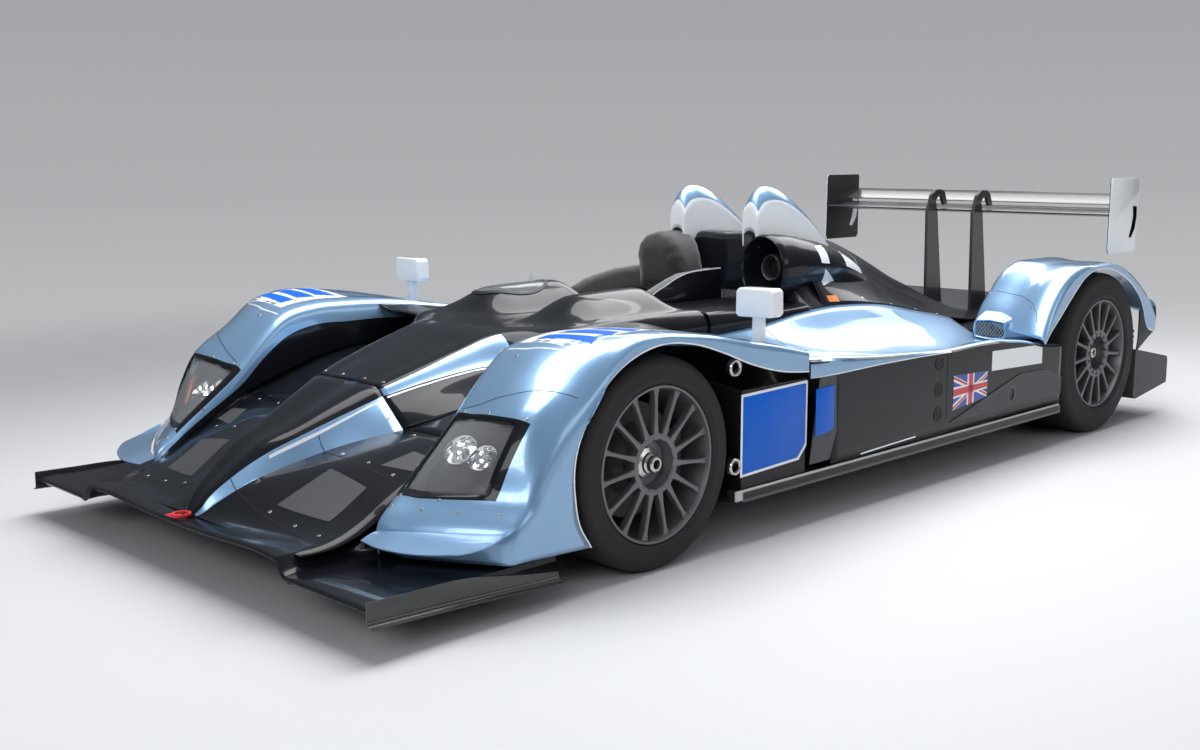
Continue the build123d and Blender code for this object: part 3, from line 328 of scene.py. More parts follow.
# x, y and z of each section's points: inner foot, wall, crest, crown, crown, lamp edge,
# corner, shoulder, side and arch lip
fender_rows = sections(
    [
        (
            (640, 640, 640, 720, 810, 895, 945, 972, 984, 984),
            (-2047, -2047, -2048, -2019, -1975, -1925, -1893, -1876, -1860, -1566),
            (139, 150, 160, 150, 150, 150, 150, 150, 150, 139),
        ),
        (
            (618, 628, 634, 715, 805, 893, 945, 974, 984, 984),
            (-2040, -2045, -2046, -2015, -1967, -1915, -1882, -1862, -1843, -1612),
            (176, 195, 222, 224, 228, 230, 230, 228, 226, 215),
        ),
        (
            (604, 610, 620, 705, 800, 900, 948, 975, 984, 984),
            (-1975, -1976, -1975, -1950, -1905, -1845, -1812, -1790, -1768, -1627),
            (250, 268, 290, 300, 305, 308, 305, 298, 290, 290),
        ),
        (
            (598, 597, 604, 700, 805, 912, 952, 977, 984, 984),
            (-1855, -1856, -1855, -1855, -1838, -1798, -1768, -1742, -1718, -1631),
            (325, 355, 385, 402, 412, 410, 392, 372, 352, 350),
        ),
        (
            (594, 587, 592, 690, 800, 922, 955, 978, 984, 984),
            (-1735, -1736, -1735, -1745, -1752, -1735, -1703, -1676, -1655, -1618),
            (392, 435, 484, 505, 516, 508, 482, 452, 430, 425),
        ),
        (
            (590, 583, 589, 690, 800, 912, 955, 978, 984, 984),
            (-1645, -1646, -1645, -1650, -1645, -1606, -1580, -1562, -1558, -1576),
            (425, 520, 575, 602, 612, 604, 584, 556, 525, 505),
        ),
        (
            (588, 580, 588, 690, 800, 905, 950, 977, 984, 984),
            (-1545, -1547, -1545, -1545, -1530, -1492, -1470, -1461, -1465, -1480),
            (455, 590, 652, 682, 694, 692, 678, 657, 640, 612),
        ),
        (
            (587, 578, 588, 690, 800, 905, 950, 977, 984, 984),
            (-1430, -1430, -1430, -1425, -1410, -1390, -1380, -1375, -1374, -1374),
            (490, 620, 678, 704, 714, 716, 710, 698, 686, 664),
        ),
        (
            (586, 576, 588, 690, 800, 905, 950, 977, 984, 984),
            -1288,
            (518, 620, 682, 704, 715, 718, 715, 709, 702, 682),
        ),
        (
            (586, 576, 588, 690, 800, 905, 950, 977, 984, 984),
            -1150,
            (531, 620, 677, 694, 703, 705, 703, 698, 690, 672),
        ),
        (
            (586, 580, 588, 690, 800, 905, 950, 977, 984, 984),
            -1000,
            (531, 610, 660, 672, 680, 683, 681, 676, 667, 629),
        ),
        (
            (586, 582, 588, 690, 800, 905, 950, 977, 984, 984),
            -876,
            (531, 600, 640, 650, 657, 660, 657, 650, 640, 583),
        ),
        (
            (586, 583, 588, 690, 800, 905, 950, 977, 984, 984),
            -720,
            (531, 585, 620, 626, 630, 631, 628, 621, 611, 541),
        ),
        (
            (586, 584, 588, 690, 800, 905, 950, 977, 984, 984),
            -600,
            (525, 570, 602, 606, 607, 606, 603, 596, 588, 525),
        ),
        (
            (586, 584, 588, 690, 800, 905, 950, 977, 984, 984),
            -566,
            (520, 565, 594, 597, 598, 597, 594, 588, 580, 522),
        ),
    ]
)
LAMP_FIRST, LAMP_LAST, LAMP_INNER, LAMP_OUTER = 2.0, 4.0, 2.0, 5.0
BEZEL_HIGH, BEZEL_WIDE = 0.17, 0.25


def fender_paint(row, column):
    """Blue above the foot of the inner wall, black for that foot and the lamp's border."""
    if LAMP_FIRST < row < LAMP_LAST and LAMP_INNER < column < LAMP_OUTER:
        return 1
    return 1 if column < 1 else 0


def lamp_opening(row, column):
    """The clear part of the headlamp, inside its black border."""
    return (
        LAMP_FIRST + BEZEL_HIGH < row < LAMP_LAST - BEZEL_HIGH
        and LAMP_INNER + BEZEL_WIDE < column < LAMP_OUTER - BEZEL_WIDE
    )


for side, hand in SIDES:
    fender = skin(
        f"fender_front_{hand}",
        fender_rows,
        (6, 6),
        paint=fender_paint,
        paints=(blue_paint, black_paint),
        side=side,
        drop=lamp_opening,
    )
    carried(fender, "blue_paint", f"front_fender_{hand}")

# Nose: one composite cover from the tip to the joint ahead of the scuttle, with a black
# crown, a light-blue band on each side and channel floors that run out to the fenders.


def whole(half_rows):
    """Full-width rows from half sections of (x, z) at each y."""
    return [
        [(-x, y, z) for x, z in reversed(half[1:])] + [(x, y, z) for x, z in half]
        for y, half in half_rows
    ]


nose_half = [
    # middle, crown edge, band top, band foot, channel, fender wall
    (-2262, ((0, 186), (20, 185), (24, 183), (34, 181), (150, 180), (590, 179))),
    (-2250, ((0, 205), (32, 203), (36, 199), (46, 188), (160, 182), (595, 180))),
    (-2215, ((0, 247), (44, 245), (48, 240), (66, 215), (180, 188), (600, 181))),
    (-2160, ((0, 290), (56, 288), (62, 282), (90, 250), (230, 208), (605, 186))),
    (-2050, ((0, 368), (86, 362), (95, 348), (120, 295), (300, 262), (600, 215))),
    (-1950, ((0, 408), (112, 402), (124, 390), (150, 325), (320, 318), (600, 272))),
    (-1850, ((0, 452), (138, 445), (152, 430), (195, 355), (350, 355), (598, 328))),
    (-1703, ((0, 516), (180, 507), (198, 487), (300, 397), (420, 401), (592, 399))),
]


def band_paint(row, column):
    """Black crown and channels, with the band between in light blue."""
    return 1 if 2 < abs(column - 5) < 3 else 0


nose = skin(
    "nose_cover",
    whole(nose_half),
    (6, 6),
    breaks=((), (2, 3, 7, 8)),
    paint=band_paint,
    paints=(black_paint, blue_paint),
)
carried(nose, "black_paint", "nose_cone")

# Channel floors: black composite ducts beside the scuttle, screwed to the tub, that lead
# the air under the bridging panels and out behind the front wheels.
channel_rows = [
    ((302, -1697, 398), (420, -1697, 402), (592, -1697, 400)),
    ((400, -1560, 452), (480, -1560, 450), (590, -1560, 450)),
    ((462, -1400, 500), (520, -1400, 500), (588, -1400, 498)),
    ((490, -1268, 525), (540, -1268, 522), (586, -1268, 520)),
    ((500, -1100, 531), (545, -1100, 530), (586, -1100, 530)),
    ((445, -900, 533), (520, -900, 532), (586, -900, 531)),
]
for side, hand in SIDES:
    channel = skin(f"channel_floor_{hand}", channel_rows, (4, 4), paints=(black_paint,), side=side)
    carried(channel, "black_paint", "channel_panels")

# Scuttle: the black composite cover over the footwell, latched to the tub, with two raised
# humps ahead of the seats and light-blue bands that run on from the nose.
scuttle_half = [
    # middle, crown, crown edge, band top, band, foot
    (-1697, ((0, 517), (100, 515), (180, 508), (198, 488), (255, 440), (300, 400))),
    (-1560, ((0, 565), (110, 562), (205, 553), (236, 522), (330, 480), (400, 452))),
    (-1400, ((0, 615), (120, 611), (215, 603), (272, 548), (380, 515), (462, 500))),
    (-1268, ((0, 655), (130, 650), (225, 638), (305, 562), (410, 535), (490, 523))),
    (-1180, ((0, 657), (140, 655), (260, 650), (350, 600), (430, 560), (500, 530))),
    (-1110, ((0, 655), (150, 656), (290, 656), (400, 640), (432, 600), (445, 540))),
    (-986, ((0, 652), (150, 658), (300, 665), (415, 655), (436, 630), (440, 560))),
    (-786, ((0, 650), (150, 665), (300, 672), (420, 668), (440, 640), (442, 560))),
    (-600, ((0, 655), (150, 668), (300, 670), (420, 662), (440, 632), (442, 560))),
    (-430, ((0, 655), (150, 662), (300, 662), (420, 655), (440, 628), (442, 575))),
]
scuttle = skin(
    "scuttle",
    whole(scuttle_half),
    (8, 8),
    paint=lambda row, column: band_paint(row, column) if row < 3.3 else 0,
    paints=(black_paint, blue_paint),
    wall=0,
)
hump_x, hump_front, hump_rear, hump_high, hump_half = 215, -1087, -446, 80, 165
for vertex in scuttle.data.vertices:
    x, y = vertex.co.x / MM, vertex.co.y / MM
    aside = abs(abs(x) - hump_x) / hump_half
    if aside < 1 and hump_front < y < hump_rear:
        along = (y - hump_front) / (hump_rear - hump_front)
        rise = min(1, along / 0.30) if along < 0.5 else min(1, (1 - along) / 0.24)
        rise = rise * rise * (3 - 2 * rise)
        vertex.co.z += hump_high * MM * rise * (1 - aside**2) ** 1.2
walled(scuttle, 5)
carried(scuttle, "black_paint", "cockpit_surround")

# Bridging panels: flat black composite panels from the tub to the fender crests, screwed
# down over the channels.
bridge_rows = [
    ((402, -1110, 642), (480, -1110, 646), (540, -1135, 654), (587, -1150, 672)),
    ((418, -1000, 655), (480, -1000, 652), (540, -1000, 654), (587, -1000, 660)),
    ((420, -800, 660), (480, -800, 646), (540, -800, 636), (587, -800, 633)),
    ((442, -600, 610), (480, -600, 606), (540, -600, 602), (587, -600, 600)),
    ((442, -455, 580), (480, -455, 575), (540, -455, 570), (587, -455, 568)),
]
for side, hand in SIDES:
    bridge = skin(f"bridging_panel_{hand}", bridge_rows, (5, 4), paints=(black_paint,), side=side)
    carried(bridge, "black_paint")

# Sidepods: black side walls with scooped light-blue tops that fall away from the tub.
# Each section has a tub side, slope, scoop floor, rise, rim, edge, corner, wall and sill.
pod_rows = sections(
    [
        (-556, (576, 571, 568, 567, 566, 563, 552, 400, 190)),
        (-430, (580, 566, 556, 556, 558, 556, 543, 400, 190)),
        (-150, (595, 530, 497, 510, 530, 531, 522, 380, 190)),
        (100, (622, 520, 474, 490, 512, 516, 506, 370, 190)),
        (300, (630, 520, 455, 475, 500, 504, 494, 360, 190)),
        (677, (605, 490, 433, 470, 500, 502, 492, 360, 190)),
        (900, (565, 475, 437, 458, 478, 480, 471, 360, 190)),
        (1100, (527, 460, 440, 442, 444, 443, 435, 340, 190)),
        (1210, (505, 450, 438, 436, 436, 434, 426, 330, 190)),
    ],
    (446, 560, 700, 830, 930, 965, 980, 981, 981),
)
for side, hand in SIDES:
    pod = skin(
        f"sidepod_skin_{hand}",
        pod_rows,
        (6, 5),
        paint=lambda row, column: 0 if column < 5.4 else 1,
        paints=(blue_paint, black_paint),
        side=side,
        drop=lambda row, column: row < 1 and column > 6.3,
    )
    carried(pod, "blue_paint", f"sidepod_{hand}")

# Rear fenders: light-blue mouldings over the rear wheels, flat on top. Each section has
# an inner foot, wall, inner crest, crown, outer crest, shoulder, side and arch lip.
rear_fender_rows = sections(
    [
        (
            (1150, 1150, 1150, 1085, 1045, 1045, 1048, 1056),
            (440, 470, 495, 488, 475, 468, 462, 450),
        ),
        (
            (1200, 1200, 1196, 1130, 1085, 1085, 1090, 1095),
            (440, 500, 560, 556, 545, 530, 515, 487),
        ),
        (
            (1280, 1270, 1262, 1200, 1140, 1140, 1150, 1173),
            (440, 540, 620, 625, 622, 608, 590, 547),
        ),
        (
            (1360, 1358, 1355, 1300, 1230, 1228, 1235, 1272),
            (440, 590, 696, 700, 700, 690, 672, 624),
        ),
        (
            (1440, 1440, 1440, 1410, 1360, 1360, 1362, 1400),
            (440, 620, 730, 738, 746, 742, 730, 708),
        ),
        (
            (1540, 1540, 1540, 1540, 1530, 1530, 1530, 1545),
            (440, 640, 747, 750, 752, 750, 746, 735),
        ),
        (1700, (440, 640, 747, 748, 746, 742, 736, 706)),
        (1862, (440, 610, 722, 708, 692, 685, 674, 636)),
        (1960, (440, 580, 690, 665, 640, 632, 620, 560)),
        (2060, (440, 540, 640, 600, 570, 560, 548, 420)),
        (2134, (440, 500, 570, 520, 490, 480, 466, 404)),
    ],
    (598, 597, 602, 790, 940, 975, 984, 984),
)
for side, hand in SIDES:
    fender = skin(
        f"fender_rear_{hand}",
        rear_fender_rows,
        (6, 6),
        paint=lambda row, column: 1 if column < 1 else 0,
        paints=(blue_paint, black_paint),
        side=side,
    )
    carried(fender, "blue_paint", f"rear_fender_{hand}")

# Engine cover: one gloss-black composite moulding from behind the roll hoops down to the
# rear deck, held by quarter-turn screws along its foot.
cover_half = [
    (253, ((0, 905), (120, 908), (240, 900), (332, 820), (404, 708), (448, 633))),
    (430, ((0, 902), (110, 898), (212, 872), (312, 780), (392, 685), (448, 631))),
    (685, ((0, 876), (70, 870), (130, 845), (260, 740), (370, 650), (448, 604))),
    (834, ((0, 848), (60, 842), (115, 815), (240, 705), (360, 615), (448, 580))),
    (989, ((0, 797), (55, 790), (105, 762), (220, 650), (340, 575), (448, 549))),
    (1151, ((0, 733), (50, 727), (95, 700), (210, 600), (320, 545), (440, 518))),
    (1320, ((0, 663), (45, 658), (85, 635), (190, 560), (300, 515), (420, 490))),
    (1495, ((0, 603), (40, 598), (80, 580), (180, 520), (290, 486), (400, 470))),
    (1678, ((0, 537), (35, 533), (70, 522), (160, 490), (260, 471), (360, 463))),
    (1850, ((0, 470), (30, 468), (60, 466), (140, 463), (220, 461), (300, 460))),
]
cover = skin("engine_cover_skin", whole(cover_half), (6, 6), paints=(black_paint,))
carried(cover, "black_paint", "engine_cover")

# Roll hoop fairings: white composite shells with a light-blue back, moulded to shroud
# each steel hoop and screwed to the engine cover.
white_paint = lacquer("white_paint", (0.80, 0.82, 0.84), 0.0, 0.3, 0.0)
fairing_profile = [
    # y, top z, half width, base z
    (94, 925, 30, 862),
    (100, 1040, 40, 862),
    (132, 1085, 44, 862),
    (174, 1098, 46, 862),
    (252, 1089, 46, 862),
    (422, 1000, 38, 846),
    (600, 862, 20, 805),
]
hoop_x = 193
for side, hand in SIDES:
    rows = [
        [
            (hoop_x - half, y, base),
            (hoop_x - half, y, base + (top - base) * 0.5),
            (hoop_x - half * 0.94, y, top - (top - base) * 0.22),
            (hoop_x, y, top),
            (hoop_x + half * 0.94, y, top - (top - base) * 0.22),
            (hoop_x + half, y, base + (top - base) * 0.5),
            (hoop_x + half, y, base),
        ]
        for y, top, half, base in fairing_profile
    ]
    fairing = skin(
        f"hoop_fairing_{hand}",
        rows,
        (6, 5),
        paint=lambda row, column: 1 if row > 1 and 2 < column < 4 else 0,
        paints=(white_paint, blue_paint),
        side=side,
        wall=4,
    )
    carried(fairing, "white_paint", "roll_hoop_fairings")

# Wheels: slick tyres with plain moulded sidewalls on fifteen-spoke cast magnesium rims,
# each held by one central nut, with carbon brake discs turning behind the spokes.


def outline_piece(name, corners, fill="NGON"):
    """A flat piece cut to a list of corners in millimetres."""
    bpy.ops.object.select_all(action="DESELECT")
    bpy.ops.mesh.primitive_circle_add(vertices=len(corners), radius=1, fill_type=fill)
    piece = bpy.context.object
    piece.name = name
    for vertex, corner in zip(piece.data.vertices, corners):
        vertex.co = [size * MM for size in corner]
    return piece


def eased(piece, width, segments=2, angle=30):
    """The piece with its sharp edges rounded off by a width in millimetres."""
    edge = piece.modifiers.new("edge", "BEVEL")
    edge.width = width * MM
    edge.segments = segments
    edge.limit_method = "ANGLE"
    edge.angle_limit = math.radians(angle)
    bpy.context.view_layer.objects.active = piece
    bpy.ops.object.modifier_apply(modifier="edge")
    return piece


def edited(*steps):
    """Mesh operators with their settings, run in turn on all of the active piece."""
    bpy.ops.object.mode_set(mode="EDIT")
    for operator, settings in steps:
        bpy.ops.mesh.select_all(action="SELECT")
        operator(**settings)
    bpy.ops.object.mode_set(mode="OBJECT")


merge = (bpy.ops.mesh.remove_doubles, {"threshold": 1e-5})
face_out = (bpy.ops.mesh.normals_make_consistent, {"inside": False})


def plate_cut(name, corners, depth, edge=0, segments=2):
    """A plate cut to corners in millimetres, with a depth in (x, y, z) and eased edges."""
    piece = outline_piece(name, corners)
    move = {"TRANSFORM_OT_translate": {"value": [size * MM for size in depth]}}
    edited((bpy.ops.mesh.extrude_region_move, move), face_out)
    return eased(piece, edge, segments) if edge else piece


def turned(name, outline, centre, side=1, steps=96):
    """A ring turned about a level cross-car axis from a closed outline of (x, radius)."""
    _, y, z = centre
    piece = outline_piece(name, [(side * x, y, z + r) for x, r in outline], "NOTHING")
    sweep = {"steps": steps, "angle": math.tau, "center": (0, y * MM, z * MM), "axis": (1, 0, 0)}
    edited((bpy.ops.mesh.spin, sweep), merge, face_out)
    return piece


def joined(name, pieces):
    """Several meshes made into one piece."""
    bpy.ops.object.select_all(action="DESELECT")
    for piece in pieces:
        piece.select_set(True)
    bpy.context.view_layer.objects.active = pieces[0]
    bpy.ops.object.join()
    pieces[0].name = name
    return pieces[0]


def another(piece, name):
    """A copy of a piece with a mesh of its own."""
    twin = piece.copy()
    twin.data = piece.data.copy()
    twin.name = name
    bpy.context.scene.collection.objects.link(twin)
    return twin


def fit(piece, finish, slot, *nodes, body="root", angle=35):
    """Paint a piece, bring its place into its mesh and fix it to its body."""
    if finish is not None:
        piece.data.materials.clear()
        piece.data.materials.append(finish)
    bpy.ops.object.select_all(action="DESELECT")
    piece.select_set(True)
    bpy.context.view_layer.objects.active = piece
    bpy.ops.object.transform_apply(location=True, rotation=True, scale=True)
    bpy.ops.object.shade_smooth_by_angle(angle=math.radians(angle))
    return carried(piece, slot, *nodes, body=body)


def worked(name, colour, metallic, rough, grain, depth, tone=0.2, sheen=0.0, gloss=0.5):
    """A worked surface: colour and roughness vary softly, with a fine grain in relief."""
    finish, tree, place = bare(name)
    cloud = noise(tree, place, 9, 6)
    inputs = {
        "Base Color": tinted(tree, cloud, colour, tone),
        "Metallic": metallic,
        "Roughness": spread(tree, cloud, rough * 0.8, min(1, rough * 1.25)),
        "Specular IOR Level": gloss,
        "Sheen Weight": sheen,
        "Normal": relief(tree, noise(tree, place, grain, 3), depth, 0.0008),
    }
    wired(tree, tree.nodes["Principled BSDF"], inputs)
    return finish


rubber = worked("slick_rubber", (0.022, 0.021, 0.021), 0, 0.62, 420, 0.35, 0.3, gloss=0.25)
rim_paint = worked("gunmetal_paint", (0.155, 0.157, 0.165), 0.6, 0.38, 700, 0.10, 0.12)
disc_carbon = worked("carbon_disc", (0.045, 0.045, 0.047), 0.1, 0.50, 500, 0.30)
steel = worked("machined_steel", (0.56, 0.55, 0.53), 1.0, 0.24, 600, 0.06, 0.06)
dark_alloy = worked("dark_alloy", (0.16, 0.16, 0.17), 0.85, 0.42, 500, 0.15)

spoke_half = [(74, 15), (92, 11), (120, 7.5), (165, 6), (205, 7), (222, 11), (231, 17)]
spoke_count, spoke_deep = 15, 26
for place in ("front_left", "front_right", "rear_left", "rear_right"):
    side = 1 if place.endswith("left") else -1
    body = f"wheel_{place}"
    low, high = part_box(f"tyre_{place}")
    centre = [0, (low[1] + high[1]) / 2 / MM, (low[2] + high[2]) / 2 / MM]
    radius = (high[2] - low[2]) / 2 / MM
    face = max(abs(low[0]), abs(high[0])) / MM
    inner = min(abs(low[0]), abs(high[0])) / MM
    bowl, nut_back = (78, 16) if place.startswith("front") else (91, 34)
    tyre_outline = []
    for edge, inward in ((face, 1), (inner, -1)):
        shoulder = [
            (edge - back * inward, around)
            for back, around in (
                (14, 238.5), (6, 243), (2, 250), (2.5, 253), (0.2, 256), (0.2, 262), (1.5, 266),
                (1, radius - 42), (2.5, radius - 34), (2, radius - 30), (6, radius - 20),
                (13, radius - 10), (24, radius - 3.5), (40, radius - 0.6), (80, radius),
            )
        ]
        tyre_outline += shoulder if inward > 0 else shoulder[::-1]
    tyre = turned(f"slick_{place}", tyre_outline, centre, side, 120)
    fit(tyre, rubber, "tyre", f"tyre_{place}", body=body, angle=50)

    barrel_outline = [
        (face - 9, 238), (face - 7, 236), (face - 8, 230), (face - 14, 228), (face - 20, 226),
        (face - 46, 222), (face - 70, 214), (inner + 40, 214), (inner + 14, 226),
        (inner + 9, 238),
    ]
    bowl_outline = [
        (face - 18, bowl + 15), (face - 16, bowl + 10), (face - 16, bowl + 3),
        (face - 18, bowl), (face - 58, bowl - 10), (face - 62, 40), (face - 74, 40),
        (face - 74, bowl + 4), (face - 46, bowl + 15),
    ]
    spoke_x = side * (face - 17)
    corners = [(spoke_x, centre[1] + w, centre[2] + r) for r, w in spoke_half]
    corners += [(spoke_x, centre[1] - w, centre[2] + r) for r, w in spoke_half[::-1]]
    barrel = turned("barrel", barrel_outline, centre, side)
    ring = turned("ring", bowl_outline, centre, side)
    spoke = plate_cut("spoke", corners, (-side * spoke_deep, 0, 0), 2.6, 3)
    hub_at = Matrix.Translation(Vector(centre) * MM)
    parts = [barrel, ring, spoke]
    for turn in range(1, spoke_count):
        copy = another(spoke, "spoke")
        swing = Matrix.Rotation(math.tau * turn / spoke_count, 4, "X")
        copy.data.transform(hub_at @ swing @ hub_at.inverted())
        parts.append(copy)
    rim = joined(f"spoked_rim_{place}", parts)
    fit(rim, rim_paint, "rim", f"rim_{place}", body=body, angle=40)

    disc_outline = [
        (face - 120, 176), (face - 120.5, 174), (face - 121, 112), (face - 96, 96),
        (face - 66, 62), (face - 66, 36), (inner + 92, 36), (inner + 92, 60),
        (face - 118, 100), (face - 151, 112), (face - 152, 174), (face - 152, 176),
        (face - 137, 178), (face - 137, 170), (face - 133, 170), (face - 133, 178),
    ]
    disc = turned("disc", disc_outline, centre, side, 72)
    fit(disc, disc_carbon, "iron", f"hub_{place}", body=body)
    nut_steps = ((0, 15), (0, 20), (3, 24), (18, 25), (22, 31), (30, 33), (36, 46), (44, 48))
    nut_outline = [(face - nut_back - x, r) for x, r in (*nut_steps, (44, 12), (14, 12))]
    nut = turned(f"wheel_nut_{place}", nut_outline, centre, side, 48)
    fit(nut, steel, "steel", body=body)

# Headlamps: a black tray behind a clear screwed-on cover, with two round reflector units
# and an amber marker at the outer side.


def clear(name, colour, haze=0.03, body=0.05):
    """Clear moulded sheet: mostly see-through, with more gloss where it turns away."""
    finish, tree, place = bare(name)
    turned_away = added(tree, "LayerWeight", {"Blend": 0.35}, "Facing")
    inputs = {
        "Base Color": (*colour, 1),
        "Specular IOR Level": 0.5,
        "Roughness": spread(tree, noise(tree, place, 14), haze, haze * 3),
        "Alpha": spread(tree, turned_away, body, 0.30),
    }
    wired(tree, tree.nodes["Principled BSDF"], inputs)
    return finish


def mirrored(side, points):
    """Points on one side of the car."""
    return [(side * x, y, z) for x, y, z in points]


def once(side, *nodes):
    """The nodes that a pair of pieces stands for, named with its left piece alone."""
    return nodes if side > 0 else ()


clear_sheet = clear("clear_polycarbonate", (0.55, 0.57, 0.60))
reflector = worked("bright_reflector", (0.90, 0.90, 0.91), 1.0, 0.12, 300, 0.05, 0.04)
tray_black = worked("tray_black", (0.05, 0.05, 0.055), 0, 0.45, 400, 0.2)
amber = lacquer("amber_marker", (0.75, 0.22, 0.02), 0, 0.25)

lens_rows = [row[2:6] for row in fender_rows[2:5]]
lamp_places = (((690, -1792, 408), 50), ((783, -1789, 399), 42))
lamp_normal = Vector((0.20, -0.62, 0.76)).normalized()
lamp_swing = Vector((1, 0, 0)).rotation_difference(lamp_normal).to_matrix().to_4x4()
for side, hand in SIDES:
    lens = skin(
        f"lamp_cover_{hand}",
        lens_rows,
        (8, 8),
        wall=2.5,
        side=side,
        drop=lambda row, column: not (
            0.10 < row < 1.90 and BEZEL_WIDE - 0.05 < column < 3.05 - BEZEL_WIDE
        ),
    )
    fit(lens, clear_sheet, "lens", "headlamp_lenses")
    tray_rows = [[(x, y, z - 6) for x, y, z in lens_rows[0]]]
    tray_rows += [[(x, y + 34, z - 52) for x, y, z in row] for row in lens_rows]
    tray_rows += [[(x, y, z - 6) for x, y, z in lens_rows[2]]]
    tray = skin(f"lamp_tray_{hand}", tray_rows, (3, 4), wall=2, side=side)
    fit(tray, tray_black, "carbon")
    for number, (middle, radius) in enumerate(lamp_places):
        lamp_outline = [
            (4, radius), (2, radius + 2), (-26, radius - 4), (-34, 10), (-30, 4), (-8, 2),
            (-6, 12), (-16, 22), (-18, radius - 9), (1, radius - 3),
        ]
        bowl = turned(f"lamp_unit_{hand}_{number}", lamp_outline, (0, 0, 0), 1, 40)
        bowl.data.transform(Matrix.Translation(Vector(middle) * MM) @ lamp_swing)
        if side < 0:
            bowl.data.transform(Matrix.Scale(-1, 4, (1, 0, 0)))
            bowl.data.flip_normals()
        fit(bowl, reflector, "lamp", *(() if number else ("headlamp_units",)))
    marker_corners = ((900, -1800, 335), (912, -1768, 360), (918, -1735, 440), (906, -1765, 420))
    marker = plate_cut(
        f"amber_marker_{hand}", mirrored(side, marker_corners), (-side * 14, 6, -4), 3
    )
    fit(marker, amber, "red_lamp")

# Front splitter: a stepped black blade across the whole nose, with its middle third
# raised, a rolled leading edge, and woven side fences that turn outwards at the foot.


def woven(name, pitch=0.004, light=0.045, dark=0.012, rough=0.22):
    """Twill carbon weave under lacquer."""
    finish, tree, place = bare(name)
    turn = (0.6, 0.6, math.radians(45))
    skew = added(tree, "Mapping", {"Vector": place, "Rotation": turn}, "Vector")
    checks = {
        "Vector": skew,
        "Scale": 1 / pitch,
        "Color1": (light, light, light * 1.05, 1),
        "Color2": (dark, dark, dark * 1.1, 1),
    }
    tows = added(tree, "TexChecker", checks, "Color")
    inputs = {
        "Base Color": tows,
        "Roughness": spread(tree, tows.node.outputs["Fac"], rough, rough * 1.8),
        "Coat Weight": 0.35,
        "Coat Roughness": 0.06,
    }
    wired(tree, tree.nodes["Principled BSDF"], inputs)
    return finish


carbon_weave = woven("carbon_weave")
splitter_x = (-968, -948, -782, -635, -600, -560, -449, -345, -236, -122, 0)
splitter_x += tuple(-x for x in splitter_x[-2::-1])


def splitter_z(x, y):
    """Height of the splitter's upper face: a raised middle with a step down each side."""
    aside = abs(x)
    lowered = 141
    raised = 181 + 12 * math.exp(-(((aside - 430) / 170) ** 2))
    share = min(1, max(0, (605 - aside) / 50))
    share = share * share * (3 - 2 * share)
    back = min(1, (y + 2325) / 130)
    return lowered + (raised - lowered) * share - 8 * back * share - (0 if aside > 600 else 2)


splitter_rows = [
    [(x, y, splitter_z(x, y) - drop) for x in splitter_x]
    for y, drop in ((-2322, 9), (-2316, 3), (-2300, 0), (-2200, 0), (-2040, 0), (-1690, 2))
]
splitter = skin("splitter_blade", splitter_rows, (3, 4), breaks=((), (3, 5, 15, 17)), wall=16)
fit(splitter, black_paint, "black_paint", "front_splitter", angle=30)

fence_sides = ((-2322, 155, 93), (-2200, 152, 89), (-2000, 146, 82), (-1850, 118, 75))
fence_sides += ((-1682, 92, 66),)
fence_rows = sections(
    # top edge, face, foot and rolled lip of each section
    [(y, (top, (top + foot) / 2, foot + 12, foot + 3, foot)) for y, top, foot in fence_sides],
    (972, 973, 974, 980, 994),
)
for side, hand in SIDES:
    fence = skin(f"splitter_fence_{hand}", fence_rows, (4, 4), wall=3, side=side)
    fit(fence, carbon_weave, "carbon", *once(side, "splitter_fences"))

# Dive planes: light-blue blades screwed round the front corner of each fender, broad at
# the front and rising to a point behind.
dive_rows = [
    # root against the fender, middle, and outer edge
    ((634, -2050, 214), (636, -2078, 208), (640, -2104, 200)),
    ((690, -2034, 222), (712, -2076, 212), (730, -2114, 200)),
    ((760, -2000, 226), (792, -2050, 214), (822, -2094, 200)),
    ((840, -1955, 229), (876, -2010, 217), (906, -2052, 204)),
    ((910, -1908, 232), (942, -1962, 222), (966, -2000, 212)),
    ((960, -1874, 238), (976, -1906, 232), (986, -1930, 226)),
    ((984, -1846, 252), (988, -1852, 252), (990, -1860, 251)),
]
for side, hand in SIDES:
    blade = skin(f"dive_plane_{hand}", dive_rows, (5, 3), wall=4, side=side)
    fit(blade, blue_paint, "blue_paint", *once(side, "dive_planes"))

# Cockpit: gloss-black coamings with rolled edges along the tub, a flat cover over the
# second seat, and a bulkhead behind the driver that carries the engine cover. Each coaming
# section has a paint line, side, rolled edge, lip and inner wall.
coaming_rows = sections(
    [
        (-436, (580, 628, 653, 655, 640, 540)),
        (-258, (590, 628, 647, 650, 636, 540)),
        (-150, (595, 625, 640, 644, 630, 540)),
        (58, (618, 628, 636, 640, 630, 540)),
        (160, (624, 630, 640, 645, 635, 540)),
    ],
    (446, 443, 428, 400, 386, 384),
)
for side, hand in SIDES:
    coaming = skin(f"coaming_{hand}", coaming_rows, (5, 5), paints=(black_paint,), side=side)
    fit(coaming, None, "black_paint", *once(side, "cockpit_surround"))
cover_rows = [
    ((396, y, 646), (300, y, 652), (200, y, 654), (118, y, 655))
    for y in (-432, -300, -150, 0, 150)
]
fit(skin("second_seat_cover", cover_rows, (3, 4), wall=4), black_paint, "black_paint")
